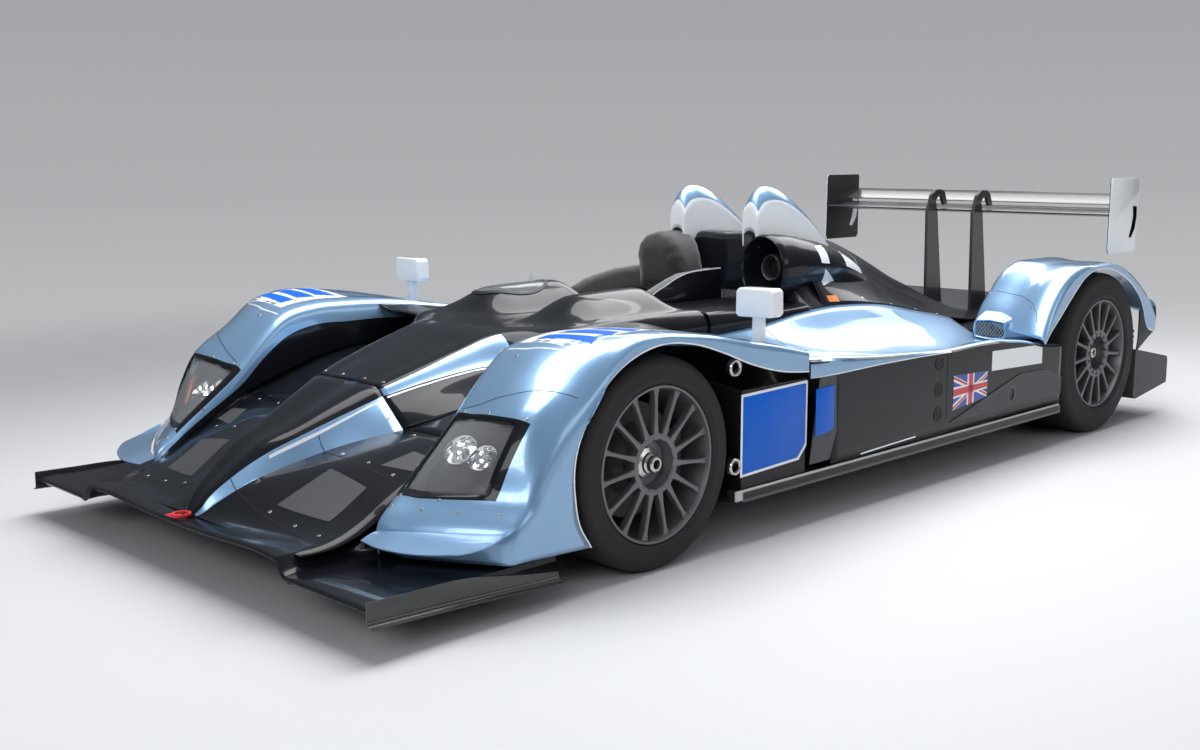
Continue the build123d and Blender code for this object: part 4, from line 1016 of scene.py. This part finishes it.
bulkhead_half = [
    (150, ((0, 560), (120, 560), (186, 560), (280, 560), (360, 560), (444, 560))),
    (154, ((0, 880), (120, 884), (190, 860), (290, 770), (370, 670), (446, 628))),
    (172, ((0, 902), (120, 905), (200, 885), (300, 802), (382, 690), (447, 629))),
    (256, ((0, 905), (120, 908), (236, 898), (318, 810), (396, 690), (448, 633))),
]
bulkhead = skin("bulkhead", whole(bulkhead_half), (4, 5), breaks=((1,), ()))
fit(bulkhead, black_paint, "black_paint")
tub = another(bpy.data.objects["monocoque"], "tub")
bpy.ops.object.select_all(action="DESELECT")
tub.select_set(True)
bpy.context.view_layer.objects.active = tub
edited(merge)
# the top of the rear wall is drawn in under the intake, above the height of the coamings
for vertex in tub.data.vertices:
    if vertex.co.z > 0.8:
        vertex.co.x *= 0.70
fit(tub, carbon_weave, "carbon", "monocoque", angle=30)

# Air intake: a black bell mouth on the car's left, faired back into the cover's flank,
# with the bright end of the inlet pipe inside.
ring_turns = 28


def ring(y, x, z, wide, high):
    """Points of a closed upright oval about (x, z), starting at its foot."""
    turns = [math.tau * k / ring_turns for k in range(ring_turns + 1)]
    return [(x + wide * math.sin(turn), y, z - high * math.cos(turn)) for turn in turns]


def tube(name, rings, steps=(4, 2)):
    """A skin through closed rings, with its seam merged."""
    piece = skin(name, rings, steps, wall=0)
    edited(merge, face_out)
    return piece


mouth_rings = (
    # y, x, z, half width, half height
    (150, 292, 782, 58, 72), (110, 290, 782, 82, 104), (72, 288, 782, 94, 116),
    (60, 288, 781, 100, 121), (57, 288, 780, 105, 126), (64, 288, 780, 111, 132),
    (110, 288, 779, 116, 136), (250, 285, 776, 116, 124), (400, 276, 766, 112, 108),
    (560, 262, 742, 96, 88), (740, 238, 700, 62, 58), (900, 214, 650, 18, 20),
)
mouth = tube("intake_mouth", [ring(*sizes) for sizes in mouth_rings])
fit(mouth, black_paint, "carbon", "air_intake", angle=50)
pipe_rings = ((150, 40, 46), (104, 40, 46), (100, 43, 49), (104, 46, 52), (150, 46, 52))
pipe = tube("intake_pipe", [ring(y, 296, 784, wide, high) for y, wide, high in pipe_rings])
fit(pipe, dark_alloy, "alloy", angle=50)

# Padding: the driver's headrest and the pads along the cell are foam under black
# flame-proof cloth; a lacquered panel with a white edge closes the inner pad's side.
cloth = worked("black_cloth", (0.030, 0.030, 0.033), 0, 0.88, 900, 0.5, 0.25, 0.4)
grey_cloth = worked("grey_cloth", (0.085, 0.085, 0.090), 0, 0.88, 900, 0.5, 0.2, 0.4)


def stuffed(piece, cap):
    """The piece filled out like foam under cloth, by a cloth simulation with limited travel."""
    bpy.ops.object.select_all(action="DESELECT")
    piece.select_set(True)
    bpy.context.view_layer.objects.active = piece
    grain = piece.modifiers.new("grain", "REMESH")
    grain.mode = "VOXEL"
    grain.voxel_size = 0.006
    bpy.ops.object.modifier_apply(modifier="grain")
    start = np.empty(len(piece.data.vertices) * 3)
    piece.data.vertices.foreach_get("co", start)
    swell = piece.modifiers.new("swell", "CLOTH")
    swell.settings.quality = 4
    swell.settings.use_pressure = True
    swell.settings.uniform_pressure_force = 4
    swell.settings.effector_weights.gravity = 0
    for frame_number in range(1, 21):
        bpy.context.scene.frame_set(frame_number)
    bpy.ops.object.modifier_apply(modifier="swell")
    moved = np.empty(len(start))
    piece.data.vertices.foreach_get("co", moved)
    travel = (moved - start).reshape(-1, 3)
    far = np.linalg.norm(travel, axis=1, keepdims=True) + 1e-9
    kept = start.reshape(-1, 3) + travel * np.minimum(1, cap * MM / far)
    piece.data.vertices.foreach_set("co", kept.ravel())
    smooth = piece.modifiers.new("smooth", "SMOOTH")
    smooth.iterations = 12
    bpy.ops.object.modifier_apply(modifier="smooth")
    return piece


driver_x = -208
head_half = [(122, 660), (122, 760), (116, 815), (96, 866), (62, 898), (0, 914)]
head_corners = [(driver_x + x, 0, z) for x, z in head_half]
head_corners += [(driver_x - x, 0, z) for x, z in head_half[-2::-1]]
headrest = plate_cut("headrest", head_corners, (0, 185, 0), 34, 5)
headrest_lean, lean_from, lean_over = 0.034, 0.66, 0.18
for vertex in headrest.data.vertices:
    vertex.co.y -= headrest_lean * min(1, max(0, (vertex.co.z - lean_from) / lean_over))
fit(stuffed(headrest, 8), cloth, "pad", "headrest_pad", angle=60)
pad_line = [(-428, 660), (-408, 686), (-365, 711), (-315, 730)]
pad_line += [(-250, 756), (-182, 773), (-80, 779), (14, 780)]
pad_corners = [(102, y, z - 3) for y, z in pad_line] + [(102, 14, 660)]
inner_pad = plate_cut("cell_pad_left", pad_corners, (-58, 0, 0), 14, 4)
fit(stuffed(inner_pad, 6), grey_cloth, "pad", "cockpit_pads", angle=60)
outer_line = [(-333, 655), (-309, 690), (-240, 722), (-180, 737), (-62, 756), (47, 762), (148, 763)]
outer_corners = [(-424, y, z) for y, z in outer_line] + [(-424, 148, 640), (-424, -333, 640)]
outer_pad = plate_cut("cell_pad_right", outer_corners, (38, 0, 0), 12, 4)
fit(stuffed(outer_pad, 6), cloth, "pad", angle=60)
panel_corners = [(106, y, z) for y, z in pad_line] + [(106, 20, 779), (106, 20, 657)]
fit(plate_cut("cell_side_panel", panel_corners, (7, 0, 0), 1.5), black_paint, "black_paint")
edge_rows = [((114, y, z + 1), (114.6, y, z - 5)) for y, z in pad_line[1:]]
fit(skin("cell_panel_edge", edge_rows, (3, 1), wall=1), white_line_and_highlight_paint, "white_paint")

# Mirrors: white moulded shells on flat stalks that are bolted to the tops of the front
# fenders, each with a bright glass in the face that looks back.
for side, hand in SIDES:
    outline = [(836, 722), (846, 712), (978, 716), (989, 727)]
    outline += [(987, 798), (976, 808), (850, 806), (838, 795)]
    head = plate_cut("head", [(side * x, -772, z) for x, z in outline], (0, 60, 0), 22, 5)
    stalk_outline = [(894, 632), (930, 632), (928, 720), (897, 720)]
    stalk = plate_cut("stalk", [(side * x, -760, z) for x, z in stalk_outline], (0, 34, 0), 5, 3)
    mirror = joined(f"mirror_{hand}", [head, stalk])
    fit(mirror, white_paint, "white_paint", *once(side, "mirrors"))
    inset = [(side * (913 + (x - 913) * 0.86), -713.5, 760 + (z - 760) * 0.82) for x, z in outline]
    glass = plate_cut(f"mirror_glass_{hand}", inset, (0, 1.5, 0), 0.5)
    fit(glass, reflector, "lamp")

# Number boards and brake ducts: blank royal-blue plates with a white border, screwed to
# the dark panels behind the front wheels, with a smaller plate on the vane beside them.
board_blue = lacquer("board_blue", (0.0, 0.115, 0.60), 0, 0.4, 0.0, 0.1, 0.2)
board_white = lacquer("board_white", (0.84, 0.85, 0.87), 0, 0.35, 0.0, 0.4)


def upright(side, x, points):
    """Points of (y, z) in an upright plane at x, on one side of the car."""
    return [(side * x, y, z) for y, z in points]


for side, hand in SIDES:
    for name, (y0, y1, z0, z1), x, inset, cut, layer, finish, *nodes in (
        ("number_board", (-905, -562, 223, 495), 976.5, 0, 42, 0, board_white),
        ("number_board", (-905, -562, 223, 495), 976.5, 9, 42, 1, board_blue, "number_boards"),
        ("vane_board", (-524, -420, 298, 462), 983.2, 0, 14, 1, board_blue),
    ):
        y0, y1, z0, z1 = y0 + inset, y1 - inset, z0 + inset, z1 - inset
        corners = [(y0, z0), (y1 - cut, z0 + 10), (y1, z0 + 10 + cut), (y1, z1 - 4), (y1 - 8, z1)]
        corners += [(y0, z1 - (y1 - y0) * 0.02)]
        sheet = upright(side, x + layer, corners)
        plate = plate_cut(f"{name}_{hand}_{layer}", sheet, (side * 1.2, 0, 0), 0.4)
        fit(plate, finish, "board", *once(side, *nodes))
    eye_outline = [(960, 17), (974, 17), (978, 21), (978, 25), (974, 28), (960, 28)]
    for z, y in ((576, -932), (262, -926)):
        eye = turned(f"brake_duct_{hand}_{z}", eye_outline, (0, y, z), side, 36)
        fit(eye, steel, "steel")

# Rear wing: a woven main plane with a slotted flap behind it, between flat endplates that
# are white outside and black inside, with a curved slot plate for the flap's angle.
satin_black = worked("satin_black", (0.014, 0.014, 0.016), 0, 0.42, 300, 0.08, gloss=0.25)


def aerofoil(chord_from, chord_to, thick, camber):
    """Closed outline of (y, z) round an inverted aerofoil between two ends of its chord."""
    (y0, z0), (y1, z1) = chord_from, chord_to
    points = []
    for k in range(33):
        turn = math.tau * k / 32
        along = (1 + math.cos(turn)) / 2
        half = thick * 2.6 * (math.sqrt(along) - along) * 0.5
        sag = -camber * 4 * along * (1 - along)
        high = sag + (half if turn < math.pi else -half) * abs(math.sin(turn)) ** 0.2
        points.append((y0 + (y1 - y0) * along - high * (z1 - z0) / 300, z0 + (z1 - z0) * along + high))
    return points


for name, section in (
    ("wing_main_plane", aerofoil((1990, 946), (2190, 968), 30, 14)),
    ("wing_flap", aerofoil((2178, 984), (2283, 1036), 16, 8)),
):
    rows = [[(x, y, z) for y, z in section] for x in (-794, 0, 794)]
    plane = tube(name, rows)
    fit(plane, carbon_weave, "carbon", *(("rear_wing",) if "main" in name else ()), angle=50)
end_corners = [(1998, 764), (2268, 764), (2285, 780), (2285, 1104)]
end_corners += [(2277, 1112), (2002, 1112), (1990, 1102), (1986, 784)]
slot_plate = [(2200, 832), (2228, 830), (2262, 872), (2276, 930)]
slot_plate += [(2272, 976), (2226, 980), (2236, 930), (2222, 880)]
for side, hand in SIDES:
    for name, corners, x, deep, edge, finish, slot, *nodes in (
        ("endplate_{}_outside", end_corners, 796.6, 3.4, 1.2, white_paint, "white_paint", "wing_endplates"),
        ("endplate_{}_inside", end_corners, 793.2, 3.4, 0.6, satin_black, "black_paint"),
        ("slot_plate_{}_799", slot_plate, 799.6, 0.4, 0, dark_alloy, "alloy"),
        ("slot_plate_{}_792", slot_plate, 792.6, 0.4, 0, board_white, "alloy"),
    ):
        plate = plate_cut(name.format(hand), upright(side, x, corners), (side * deep, 0, 0), edge)
        fit(plate, finish, slot, *once(side, *nodes))

# Tail fairings: light-blue caps with black sides behind the rear wheels, screwed to the
# rear deck, with a blank plate and the moulded louvres that let air out of the arches.
tail_sides = ((2136, 552, 300), (2200, 552, 330), (2270, 544, 362), (2322, 532, 382))
tail_rows = sections(
    [(y, (top, top + 3, top - 14, top - 60, foot + 60, foot)) for y, top, foot in tail_sides],
    (822, 862, 892, 905, 906, 900),
)
for side, hand in SIDES:
    tail = skin(
        f"tail_fairing_{hand}",
        tail_rows,
        (4, 4),
        paint=lambda row, column: 0 if column < 2.6 else 1,
        paints=(blue_paint, satin_black),
        side=side,
    )
    fit(tail, None, "black_paint", *once(side, "tail_fairings"))
    corners = upright(side, 906.5, ((2225, 400), (2300, 412), (2298, 472), (2228, 462)))
    label = plate_cut(f"tail_plate_{hand}", corners, (side * 0.6, 0, 0))
    fit(label, board_white, "white_paint")
    # seven sloping slats, then four level ones: front, length, top, fall and depth of each
    bars = [(1925 + 15 * k, 88, 606 - 30 * k, 42, 12) for k in range(7)]
    bars += [(2020, 114, 402 - 26 * k, 0, 13) for k in range(4)]
    slats = []
    for y, long, z, fall, deep in bars:
        ends = ((y, z), (y + long, z - fall), (y + long, z - fall - deep), (y, z - deep))
        slats.append(plate_cut("slat", upright(side, 880, ends), (side * 5, 0, 0)))
    fit(joined(f"arch_louvres_{hand}", slats), satin_black, "black_paint")

# Side details: a silver sill strip along the floor, a steel exhaust outlet through the
# pod's wall, and the dished quarter-turn catches that hold the pod's front panel.
sill_grey = worked("sill_grey", (0.48, 0.48, 0.49), 0.3, 0.45, 300, 0.10, 0.10)
sill_line = ((-935, 150), (1205, 150), (1212, 160), (1205, 184), (-935, 184))
outlet_outline = [(940, 24), (984, 24), (987, 27), (987, 31), (982, 33), (940, 33)]
catch_outline = [(979, 0.5), (982.5, 0.5), (983, 9), (981.4, 11)]
catch_outline += [(981.4, 22), (983, 24), (983, 27), (979, 28)]
for side, hand in SIDES:
    sill = plate_cut(f"sill_{hand}", upright(side, 979, sill_line), (side * 6, 0, 0), 2.5)
    fit(sill, sill_grey, "alloy")
    outlet = turned(f"exhaust_pipe_{hand}", outlet_outline, (0, 792, 277), side, 40)
    fit(outlet, dark_alloy, "iron")
    for z in (460, 361, 269):
        catch = turned(f"pod_fastener_{hand}_{z}", catch_outline, (0, 244, z), side, 32)
        fit(catch, satin_black, "black_paint")

# Rear fender scoops: light-blue ducts on the front of each rear fender, closed by a
# diamond mesh that keeps stones out of the brake cooling.


def rounded_box(y, low_x, high_x, low_z, high_z, corner):
    """Points of a closed upright rounded rectangle."""
    points = []
    for centre_x, centre_z, start in (
        (high_x - corner, high_z - corner, 0),
        (low_x + corner, high_z - corner, 90),
        (low_x + corner, low_z + corner, 180),
        (high_x - corner, low_z + corner, 270),
    ):
        for k in range(5):
            turn = math.radians(start + 22.5 * k)
            points.append((centre_x + corner * math.cos(turn), y, centre_z + corner * math.sin(turn)))
    return points + points[:1]


mesh_steel = worked("mesh_steel", (0.50, 0.50, 0.51), 0.9, 0.4, 600, 0.1)
mesh_x, mesh_z, mesh_step, mesh_lean = (652, 783), (455, 517), 15, 62 * 0.8
for side, hand in SIDES:
    rings = [
        rounded_box(1110, *mesh_x, *mesh_z, 14),
        rounded_box(1078, 650, 785, 453, 519, 14),
        rounded_box(1075, 645, 790, 449, 523, 16),
        rounded_box(1084, 642, 794, 446, 527, 18),
        rounded_box(1180, 632, 852, 442, 566, 30),
        rounded_box(1262, 620, 884, 440, 606, 34),
    ]
    scoop = tube(f"fender_scoop_{hand}", [mirrored(side, points) for points in rings])
    fit(scoop, blue_paint, "blue_paint", angle=65)
    bars = []
    for k in range(-4, 10):
        for lean in (1, -1):
            xa, za = mesh_x[0] + mesh_step * k, mesh_z[lean < 0]
            xb, zb = xa + mesh_lean, mesh_z[lean > 0]
            for limit in mesh_x:
                if (xa < limit) != (xb < limit):
                    z_cut = za + (zb - za) * (limit - xa) / (xb - xa)
                    if (xa < limit) == (limit == mesh_x[0]):
                        xa, za = limit, z_cut
                    else:
                        xb, zb = limit, z_cut
            if xb - xa < 3 or xb > mesh_x[1] + 1 or xa < mesh_x[0] - 1:
                continue
            ends = ((xa, za - 2), (xb, zb - 2), (xb, zb + 2), (xa, za + 2))
            corners = [(side * x, 1083 + lean, z) for x, z in ends]
            bars.append(plate_cut("bar", corners, (0, 1.5, 0)))
    fit(joined(f"scoop_mesh_{hand}", bars), mesh_steel, "steel")

# Parts under the skin: floor, diffuser, pylons, skid, seat, engine and suspension keep
# their drawn shape, and each gets the finish of the real one.
skid_wood = worked("skid_wood", (0.16, 0.10, 0.055), 0, 0.7, 120, 0.3)
grip = worked("moulded_grip", (0.02, 0.02, 0.021), 0, 0.7, 500, 0.4)
webbing = worked("red_webbing", (0.55, 0.015, 0.02), 0, 0.7, 800, 0.4)
red_lens = lacquer("red_lens", (0.45, 0.01, 0.01), 0, 0.2)
duct_grey = worked("duct_grey", (0.060, 0.060, 0.065), 0.1, 0.5, 300, 0.1)
for finish, *names in (
    (carbon_weave, "floor_tray", "rear_crash_box", "diffuser", "wing_pylons"),
    (duct_grey, "diffuser_corners", "turning_vanes", "exhaust_outlets"),
    (satin_black, "arch_exit_panels"),
    (black_paint, "rear_deck"),
    (clear_sheet, "windscreen"),
    (skid_wood, "skid_block"),
    (cloth, "seat"),
    (grip, "steering_wheel"),
    (webbing, "tow_loop"),
    (red_lens, "rear_light"),
    (dark_alloy, "engine_block", "front_upright_left", "front_upright_right", "rear_uprights"),
    (steel, "front_suspension", "rear_suspension"),
):
    for name in names:
        node = bpy.data.objects[name]
        node.data.materials.clear()
        node.data.materials.append(finish)

# Surface details: seams between panels, screws, blank plates and generic flag patches,
# each laid on the skin that carries it. Racing cars wear them as vinyl film and as
# flush quarter-turn screws.


def surface_of(*pieces):
    """A search tree of the faces of pieces, for laying details on them."""
    points, faces = [], []
    for piece in pieces:
        start = len(points)
        points += [vertex.co.copy() for vertex in piece.data.vertices]
        faces += [[start + k for k in face.vertices] for face in piece.data.polygons]
    return BVHTree.FromPolygons(points, faces)


def landed(surface, point, direction, lift):
    """Where a point, sent along a direction, meets the surface, raised a little off it."""
    way = Vector(direction).normalized()
    start = Vector(point) * MM - way * 1.5
    hit, normal, _, _ = surface.ray_cast(start, way, 3)
    if hit is None:
        near, normal, _, _ = surface.find_nearest(Vector(point) * MM)
        return near / MM
    if normal.dot(way) > 0:
        normal = -normal
    return hit / MM + normal * lift


def laid(name, surface, rows, direction, finish, slot, lift=0.7, between=6):
    """A film laid on a surface from rows of points, seen along a direction."""
    rows = [[Vector(point) for point in row] for row in rows]
    fine = []
    for first, second in zip(rows, rows[1:]):
        for k in range(between):
            fine.append([a.lerp(b, k / between) for a, b in zip(first, second)])
    fine.append(rows[-1])
    dense = []
    for row in fine:
        line = []
        for a, b in zip(row, row[1:]):
            line += [a.lerp(b, k / between) for k in range(between)]
        dense.append(line + [row[-1]])
    placed = [[landed(surface, point, direction, lift) for point in row] for row in dense]
    film = skin(name, placed, (1, 1), wall=0)
    if film.data.polygons[0].normal.dot(Vector(direction)) > 0:
        film.data.flip_normals()
    walled(film, lift * 0.8)
    return fit(film, finish, slot)


def strip(name, surface, line, direction, width, finish, slot, lift=0.5):
    """A narrow film along a line on a surface: a seam, or a painted edge."""
    way = Vector(direction).normalized()
    rows = []
    for k, point in enumerate(line):
        before = Vector(line[max(0, k - 1)])
        after = Vector(line[min(len(line) - 1, k + 1)])
        aside = (after - before).cross(way).normalized() * width / 2
        rows.append([Vector(point) - aside, Vector(point) + aside])
    return laid(name, surface, rows, direction, finish, slot, lift, 4)


def screws(name, surface, places, direction, radius=6.5, finish=None):
    """Flush screws with a dished head at places on a surface."""
    heads = []
    for place in places:
        spot = landed(surface, place, direction, 0)
        out = (landed(surface, place, direction, 1) - spot).normalized()
        bpy.ops.mesh.primitive_cylinder_add(vertices=14, radius=radius * MM, depth=1.6 * MM)
        head = eased(bpy.context.object, 0.5, 1)
        swing = Vector((0, 0, 1)).rotation_difference(out).to_matrix().to_4x4()
        head.data.transform(Matrix.Translation(spot * MM) @ swing)
        head.location = (0, 0, 0)
        heads.append(head)
    return fit(joined(name, heads), finish or steel, "steel")


seam_dark = worked("seam_dark", (0.004, 0.004, 0.005), 0, 0.8, 300, 0.1)
flag_blue = lacquer("flag_blue", (0.012, 0.045, 0.34), 0, 0.35, 0, 0.4)
flag_red = lacquer("flag_red", (0.60, 0.010, 0.030), 0, 0.35, 0, 0.4)
DOWN, INWARD = (0, 0, -1), (-1, 0, 0)


def overhead(side, points):
    """Points of (x, y) seen from high above one side of the car."""
    return [(side * x, y, 900) for x, y in points]


def seam(name, surface, line, direction, width=2.2):
    """The dark joint between two panels, along a line on them."""
    strip(name, surface, line, direction, width, seam_dark, "black_paint")


def white_edge(name, surface, line, direction, width=4, lift=0.5):
    """A white line painted along a surface: livery lines, and painted highlights along creases."""
    strip(name, surface, line, direction, width, white_line_and_highlight_paint, "white_paint", lift)


flag_corners = ((350, 402), (600, 392), (350, 268), (600, 290))


def flag_point(u, v):
    """Where a share of the flag's width and height lies, in (y, z)."""
    u, v = min(1, max(0, u)), min(1, max(0, v))
    top, foot = (
        [a + (b - a) * u for a, b in zip(flag_corners[k], flag_corners[k + 1])] for k in (0, 2)
    )
    return top[0] + (foot[0] - top[0]) * v, top[1] + (foot[1] - top[1]) * v


skins = {piece.name: piece for piece in bpy.data.objects if piece.type == "MESH"}
for side, hand in SIDES:
    inward = (-side, 0, 0)
    pod = surface_of(skins[f"sidepod_skin_{hand}"])
    front = surface_of(skins[f"fender_front_{hand}"])
    rear = surface_of(skins[f"fender_rear_{hand}"])

    # side of the pod: the blue wedge with its white edge, blank plate and flag patch
    wedge_ends = (((-552, 566), (-552, 498)), ((-150, 520), (-150, 503)), ((330, 499), (330, 497)))
    wedge = [upright(side, 1000, ends) for ends in wedge_ends]
    laid(f"pod_wedge_{hand}", pod, wedge, inward, blue_paint, "blue_paint")
    edge = upright(side, 1000, ((-552, 496), (-350, 498), (-150, 501), (100, 500), (330, 495)))
    white_edge(f"pod_wedge_edge_{hand}", pod, edge, inward, 4, 1.0)
    low_edge = upright(side, 1000, ((-250, 197), (-80, 202), (98, 206)))
    white_edge(f"pod_low_edge_{hand}", pod, low_edge, inward, 5)
    plate_ends = (((632, 466), (632, 388)), ((1040, 452), (1040, 374)))
    plate = [upright(side, 1000, ends) for ends in plate_ends]
    laid(f"pod_plate_{hand}", pod, plate, inward, board_white, "white_paint")
    for name, ends, (wide, high), finish, lift in (
        # the ends of each bar and half its breadth, as shares of the flag's size
        ("flag_field", ((0, 0.5), (1, 0.5)), (0, 0.5), flag_blue, 0.5),
        ("flag_white_a", ((0, 0.08), (1, 0.92)), (0, 0.09), board_white, 0.8),
        ("flag_white_b", ((0, 0.92), (1, 0.08)), (0, 0.09), board_white, 0.8),
        ("flag_red_a", ((0, 0.06), (1, 0.90)), (0, 0.035), flag_red, 1.0),
        ("flag_red_b", ((0, 0.94), (1, 0.10)), (0, 0.035), flag_red, 1.0),
        ("flag_white_c", ((0, 0.5), (1, 0.5)), (0, 0.16), board_white, 1.2),
        ("flag_white_d", ((0.5, 0), (0.5, 1)), (0.10, 0), board_white, 1.2),
        ("flag_red_c", ((0, 0.5), (1, 0.5)), (0, 0.10), flag_red, 1.5),
        ("flag_red_d", ((0.5, 0), (0.5, 1)), (0.06, 0), flag_red, 1.5),
    ):
        bar = [
            upright(side, 1000, [flag_point(u + way * wide, v + way * high) for way in (-1, 1)])
            for u, v in ends
        ]
        laid(f"{name}_{hand}", pod, bar, inward, finish, "white_paint", lift)

    # pod front cut line and the panel joint over the pod
    pod_front = [(side * x, -148, 800) for x in (470, 640, 800, 960)]
    seam(f"pod_joint_{hand}", pod, pod_front, DOWN)
    side_joint = upright(side, 1000, ((300, 492), (304, 380), (308, 240)))
    seam(f"pod_side_joint_{hand}", pod, side_joint, inward)

    # front fender: arch flange edge, bumper joint and its screws
    for name, table in (("arch_edge", fender_rows), ("rear_arch_edge", rear_fender_rows)):
        edge_rows = []
        for row in table:
            lip, beside = Vector(row[-1]), Vector(row[-2])
            lip.x = beside.x = 984.8
            edge_rows.append((lip, lip + (beside - lip).normalized() * 5))
        flange = skin(f"{name}_{hand}", edge_rows, (6, 1), wall=0.6, side=side)
        fit(flange, white_line_and_highlight_paint, "white_paint")
    joint = overhead(side, ((605, -1965), (700, -1935), (800, -1890), (900, -1832), (960, -1790)))
    seam(f"bumper_joint_{hand}", front, joint, (0, 0.5, -0.86))
    places = ((640, -1990, 272), (730, -1962, 274), (830, -1915, 276), (925, -1852, 274))
    screws(f"bumper_screws_{hand}", front, mirrored(side, places), (0, 0.9, -0.3))
    places = ((640, -1722, 489), (760, -1744, 512), (905, -1730, 512), (934, -1790, 420))
    places += ((930, -1826, 318), (760, -1926, 298), (640, -1960, 294), (604, -1880, 366))
    screws(f"lamp_screws_{hand}", front, mirrored(side, places), (0, 0.7, -0.7), 5.5)
    ledge = overhead(side, ((600, -1560), (720, -1565), (840, -1545), (930, -1500)))
    white_edge(f"crown_ledge_{hand}", front, ledge, DOWN, 5)
    places = overhead(side, ((700, -1590), (905, -1545)))
    screws(f"ledge_screws_{hand}", front, places, DOWN)
    hatches = ((-1190, -1080, 660, 800), (-1040, -940, 660, 780))
    for number, (y0, y1, x0, x1) in enumerate(hatches):
        hatch = overhead(side, ((x0, y0), (x1, y0), (x1, y1), (x0, y1), (x0, y0)))
        seam(f"crown_hatch_{hand}_{number}", front, hatch, DOWN, 1.6)
    # generic blue shapes on a white ground over the crown
    ground = [overhead(side, ((650, y), (900, y))) for y in (-1530, -1400, -1240)]
    laid(f"crown_ground_{hand}", front, ground, DOWN, board_white, "white_paint", 0.5)
    for number, (y0, y1) in enumerate(((-1505, -1450), (-1428, -1360), (-1340, -1270))):
        shape = [
            overhead(side, ((690 + 16 * number, y0), (900, y0 + 24))),
            overhead(side, ((690, y1), (880, y1 + 12))),
        ]
        laid(f"crown_shape_{hand}_{number}", front, shape, DOWN, board_blue, "board", 0.9)

    # rear fender: joint of the scoop panel with its screws
    facing = (0, 0.8, -0.6)
    panel = ((606, 1248, 640), (700, 1215, 640), (800, 1178, 640))
    panel += ((880, 1140, 600), (915, 1115, 560), (930, 1095, 520))
    seam(f"scoop_joint_{hand}", rear, mirrored(side, panel), facing)
    places = mirrored(side, ((620, 1228, 630), (760, 1178, 630), (880, 1123, 590)))
    screws(f"scoop_screws_{hand}", rear, places, facing, 5.5)

# nose and scuttle: the joint ahead of the scuttle, tip joint, duct mouths, screws, and the painted
# highlights along the creases of the bands
nose_surface = surface_of(nose)
scuttle_surface = surface_of(scuttle)
for name, y in (("tip_joint", -2160), ("duct_joint", -1905)):
    seam(name, nose_surface, overhead(1, [(x, y) for x in range(-560, 561, 80)]), DOWN)
screw_x, screw_y = (-500, -380, -250, 250, 380, 500), (-2145, -1890, -1722)
places = overhead(1, [(x, y) for y in screw_y for x in screw_x])
screws("nose_screws", nose_surface, places, DOWN, 6)
places = overhead(1, [(x, -1672) for x in (-160, -60, 60, 160)])
screws("scuttle_screws", scuttle_surface, places, DOWN, 6)
for side, hand in SIDES:
    ducts = ((250, 470, -2120, -1960), (430, 560, -1880, -1790))
    for number, (x0, x1, y0, y1) in enumerate(ducts):
        front_edge = overhead(side, ((x0, y0), (x1, y0 + 30)))
        rear_edge = overhead(side, ((x0 + 40, y1), (x1, y1)))
        name = f"nose_duct_{hand}_{number}"
        laid(name, nose_surface, [front_edge, rear_edge], DOWN, duct_grey, "carbon", 1.0)
    # the white strip just below the crease at the top of each light-blue band, on the nose and on the
    # scuttle, is a painted highlight of that crease
    band = overhead(side, ((101, -2050), (130, -1950), (160, -1850), (206, -1703)))
    white_edge(f"band_edge_{hand}", nose_surface, band, DOWN)
    band = overhead(side, ((206, -1690), (245, -1560), (280, -1400), (313, -1268)))
    white_edge(f"scuttle_edge_{hand}", scuttle_surface, band, DOWN)

tow_mark = [overhead(1, ((-62, y), (0, y))) for y in (-2312, -2276)]
laid("tow_mark", surface_of(splitter), tow_mark, DOWN, flag_red, "red")


def window_ring(share):
    """Points of an oval that is a share of the size of the window in the right-hand hump."""
    turns = [math.tau * k / 32 for k in range(33)]
    return [
        (-230 + 95 * share * math.cos(turn), -800 + 150 * share * math.sin(turn), 1000)
        for turn in turns
    ]


# the driver's window in the right-hand hump, inside a black ring
window_rows = [window_ring(share) for share in (0.02, 0.35, 0.7, 1.0)]
window_glass = worked("tinted_window", (0.10, 0.11, 0.12), 0, 0.10, 200, 0.02)
laid("hump_window", scuttle_surface, window_rows, DOWN, window_glass, "lens", 1.0, 2)
ring_rows = [window_ring(share) for share in (0.99, 1.10)]
laid("hump_window_ring", scuttle_surface, ring_rows, DOWN, satin_black, "black_paint", 3.0, 2)
cover_surface = surface_of(cover, skins["bulkhead"], skins["intake_mouth"])
for name, corners, finish in (
    ("cover_crest", ((300, 862), (370, 862), (366, 790), (306, 796)), board_white),
    ("cover_triangle", ((330, 770), (336, 768), (420, 716), (318, 704)), board_white),
    ("cover_label", ((520, 830), (720, 770), (720, 720), (520, 770)), board_white),
    ("cover_yellow", ((300, 668), (370, 664), (370, 640), (300, 644)), amber),
):
    first, second, third, fourth = upright(1, 700, corners)
    patch = [[first, fourth], [second, third]]
    laid(name, cover_surface, patch, INWARD, finish, "white_paint", 0.8, 4)
for number, (y, z) in enumerate(((560, 640), (760, 600), (960, 560), (1180, 520))):
    screws(f"cover_screw_{number}", cover_surface, [(700, y, z)], INWARD, 7)
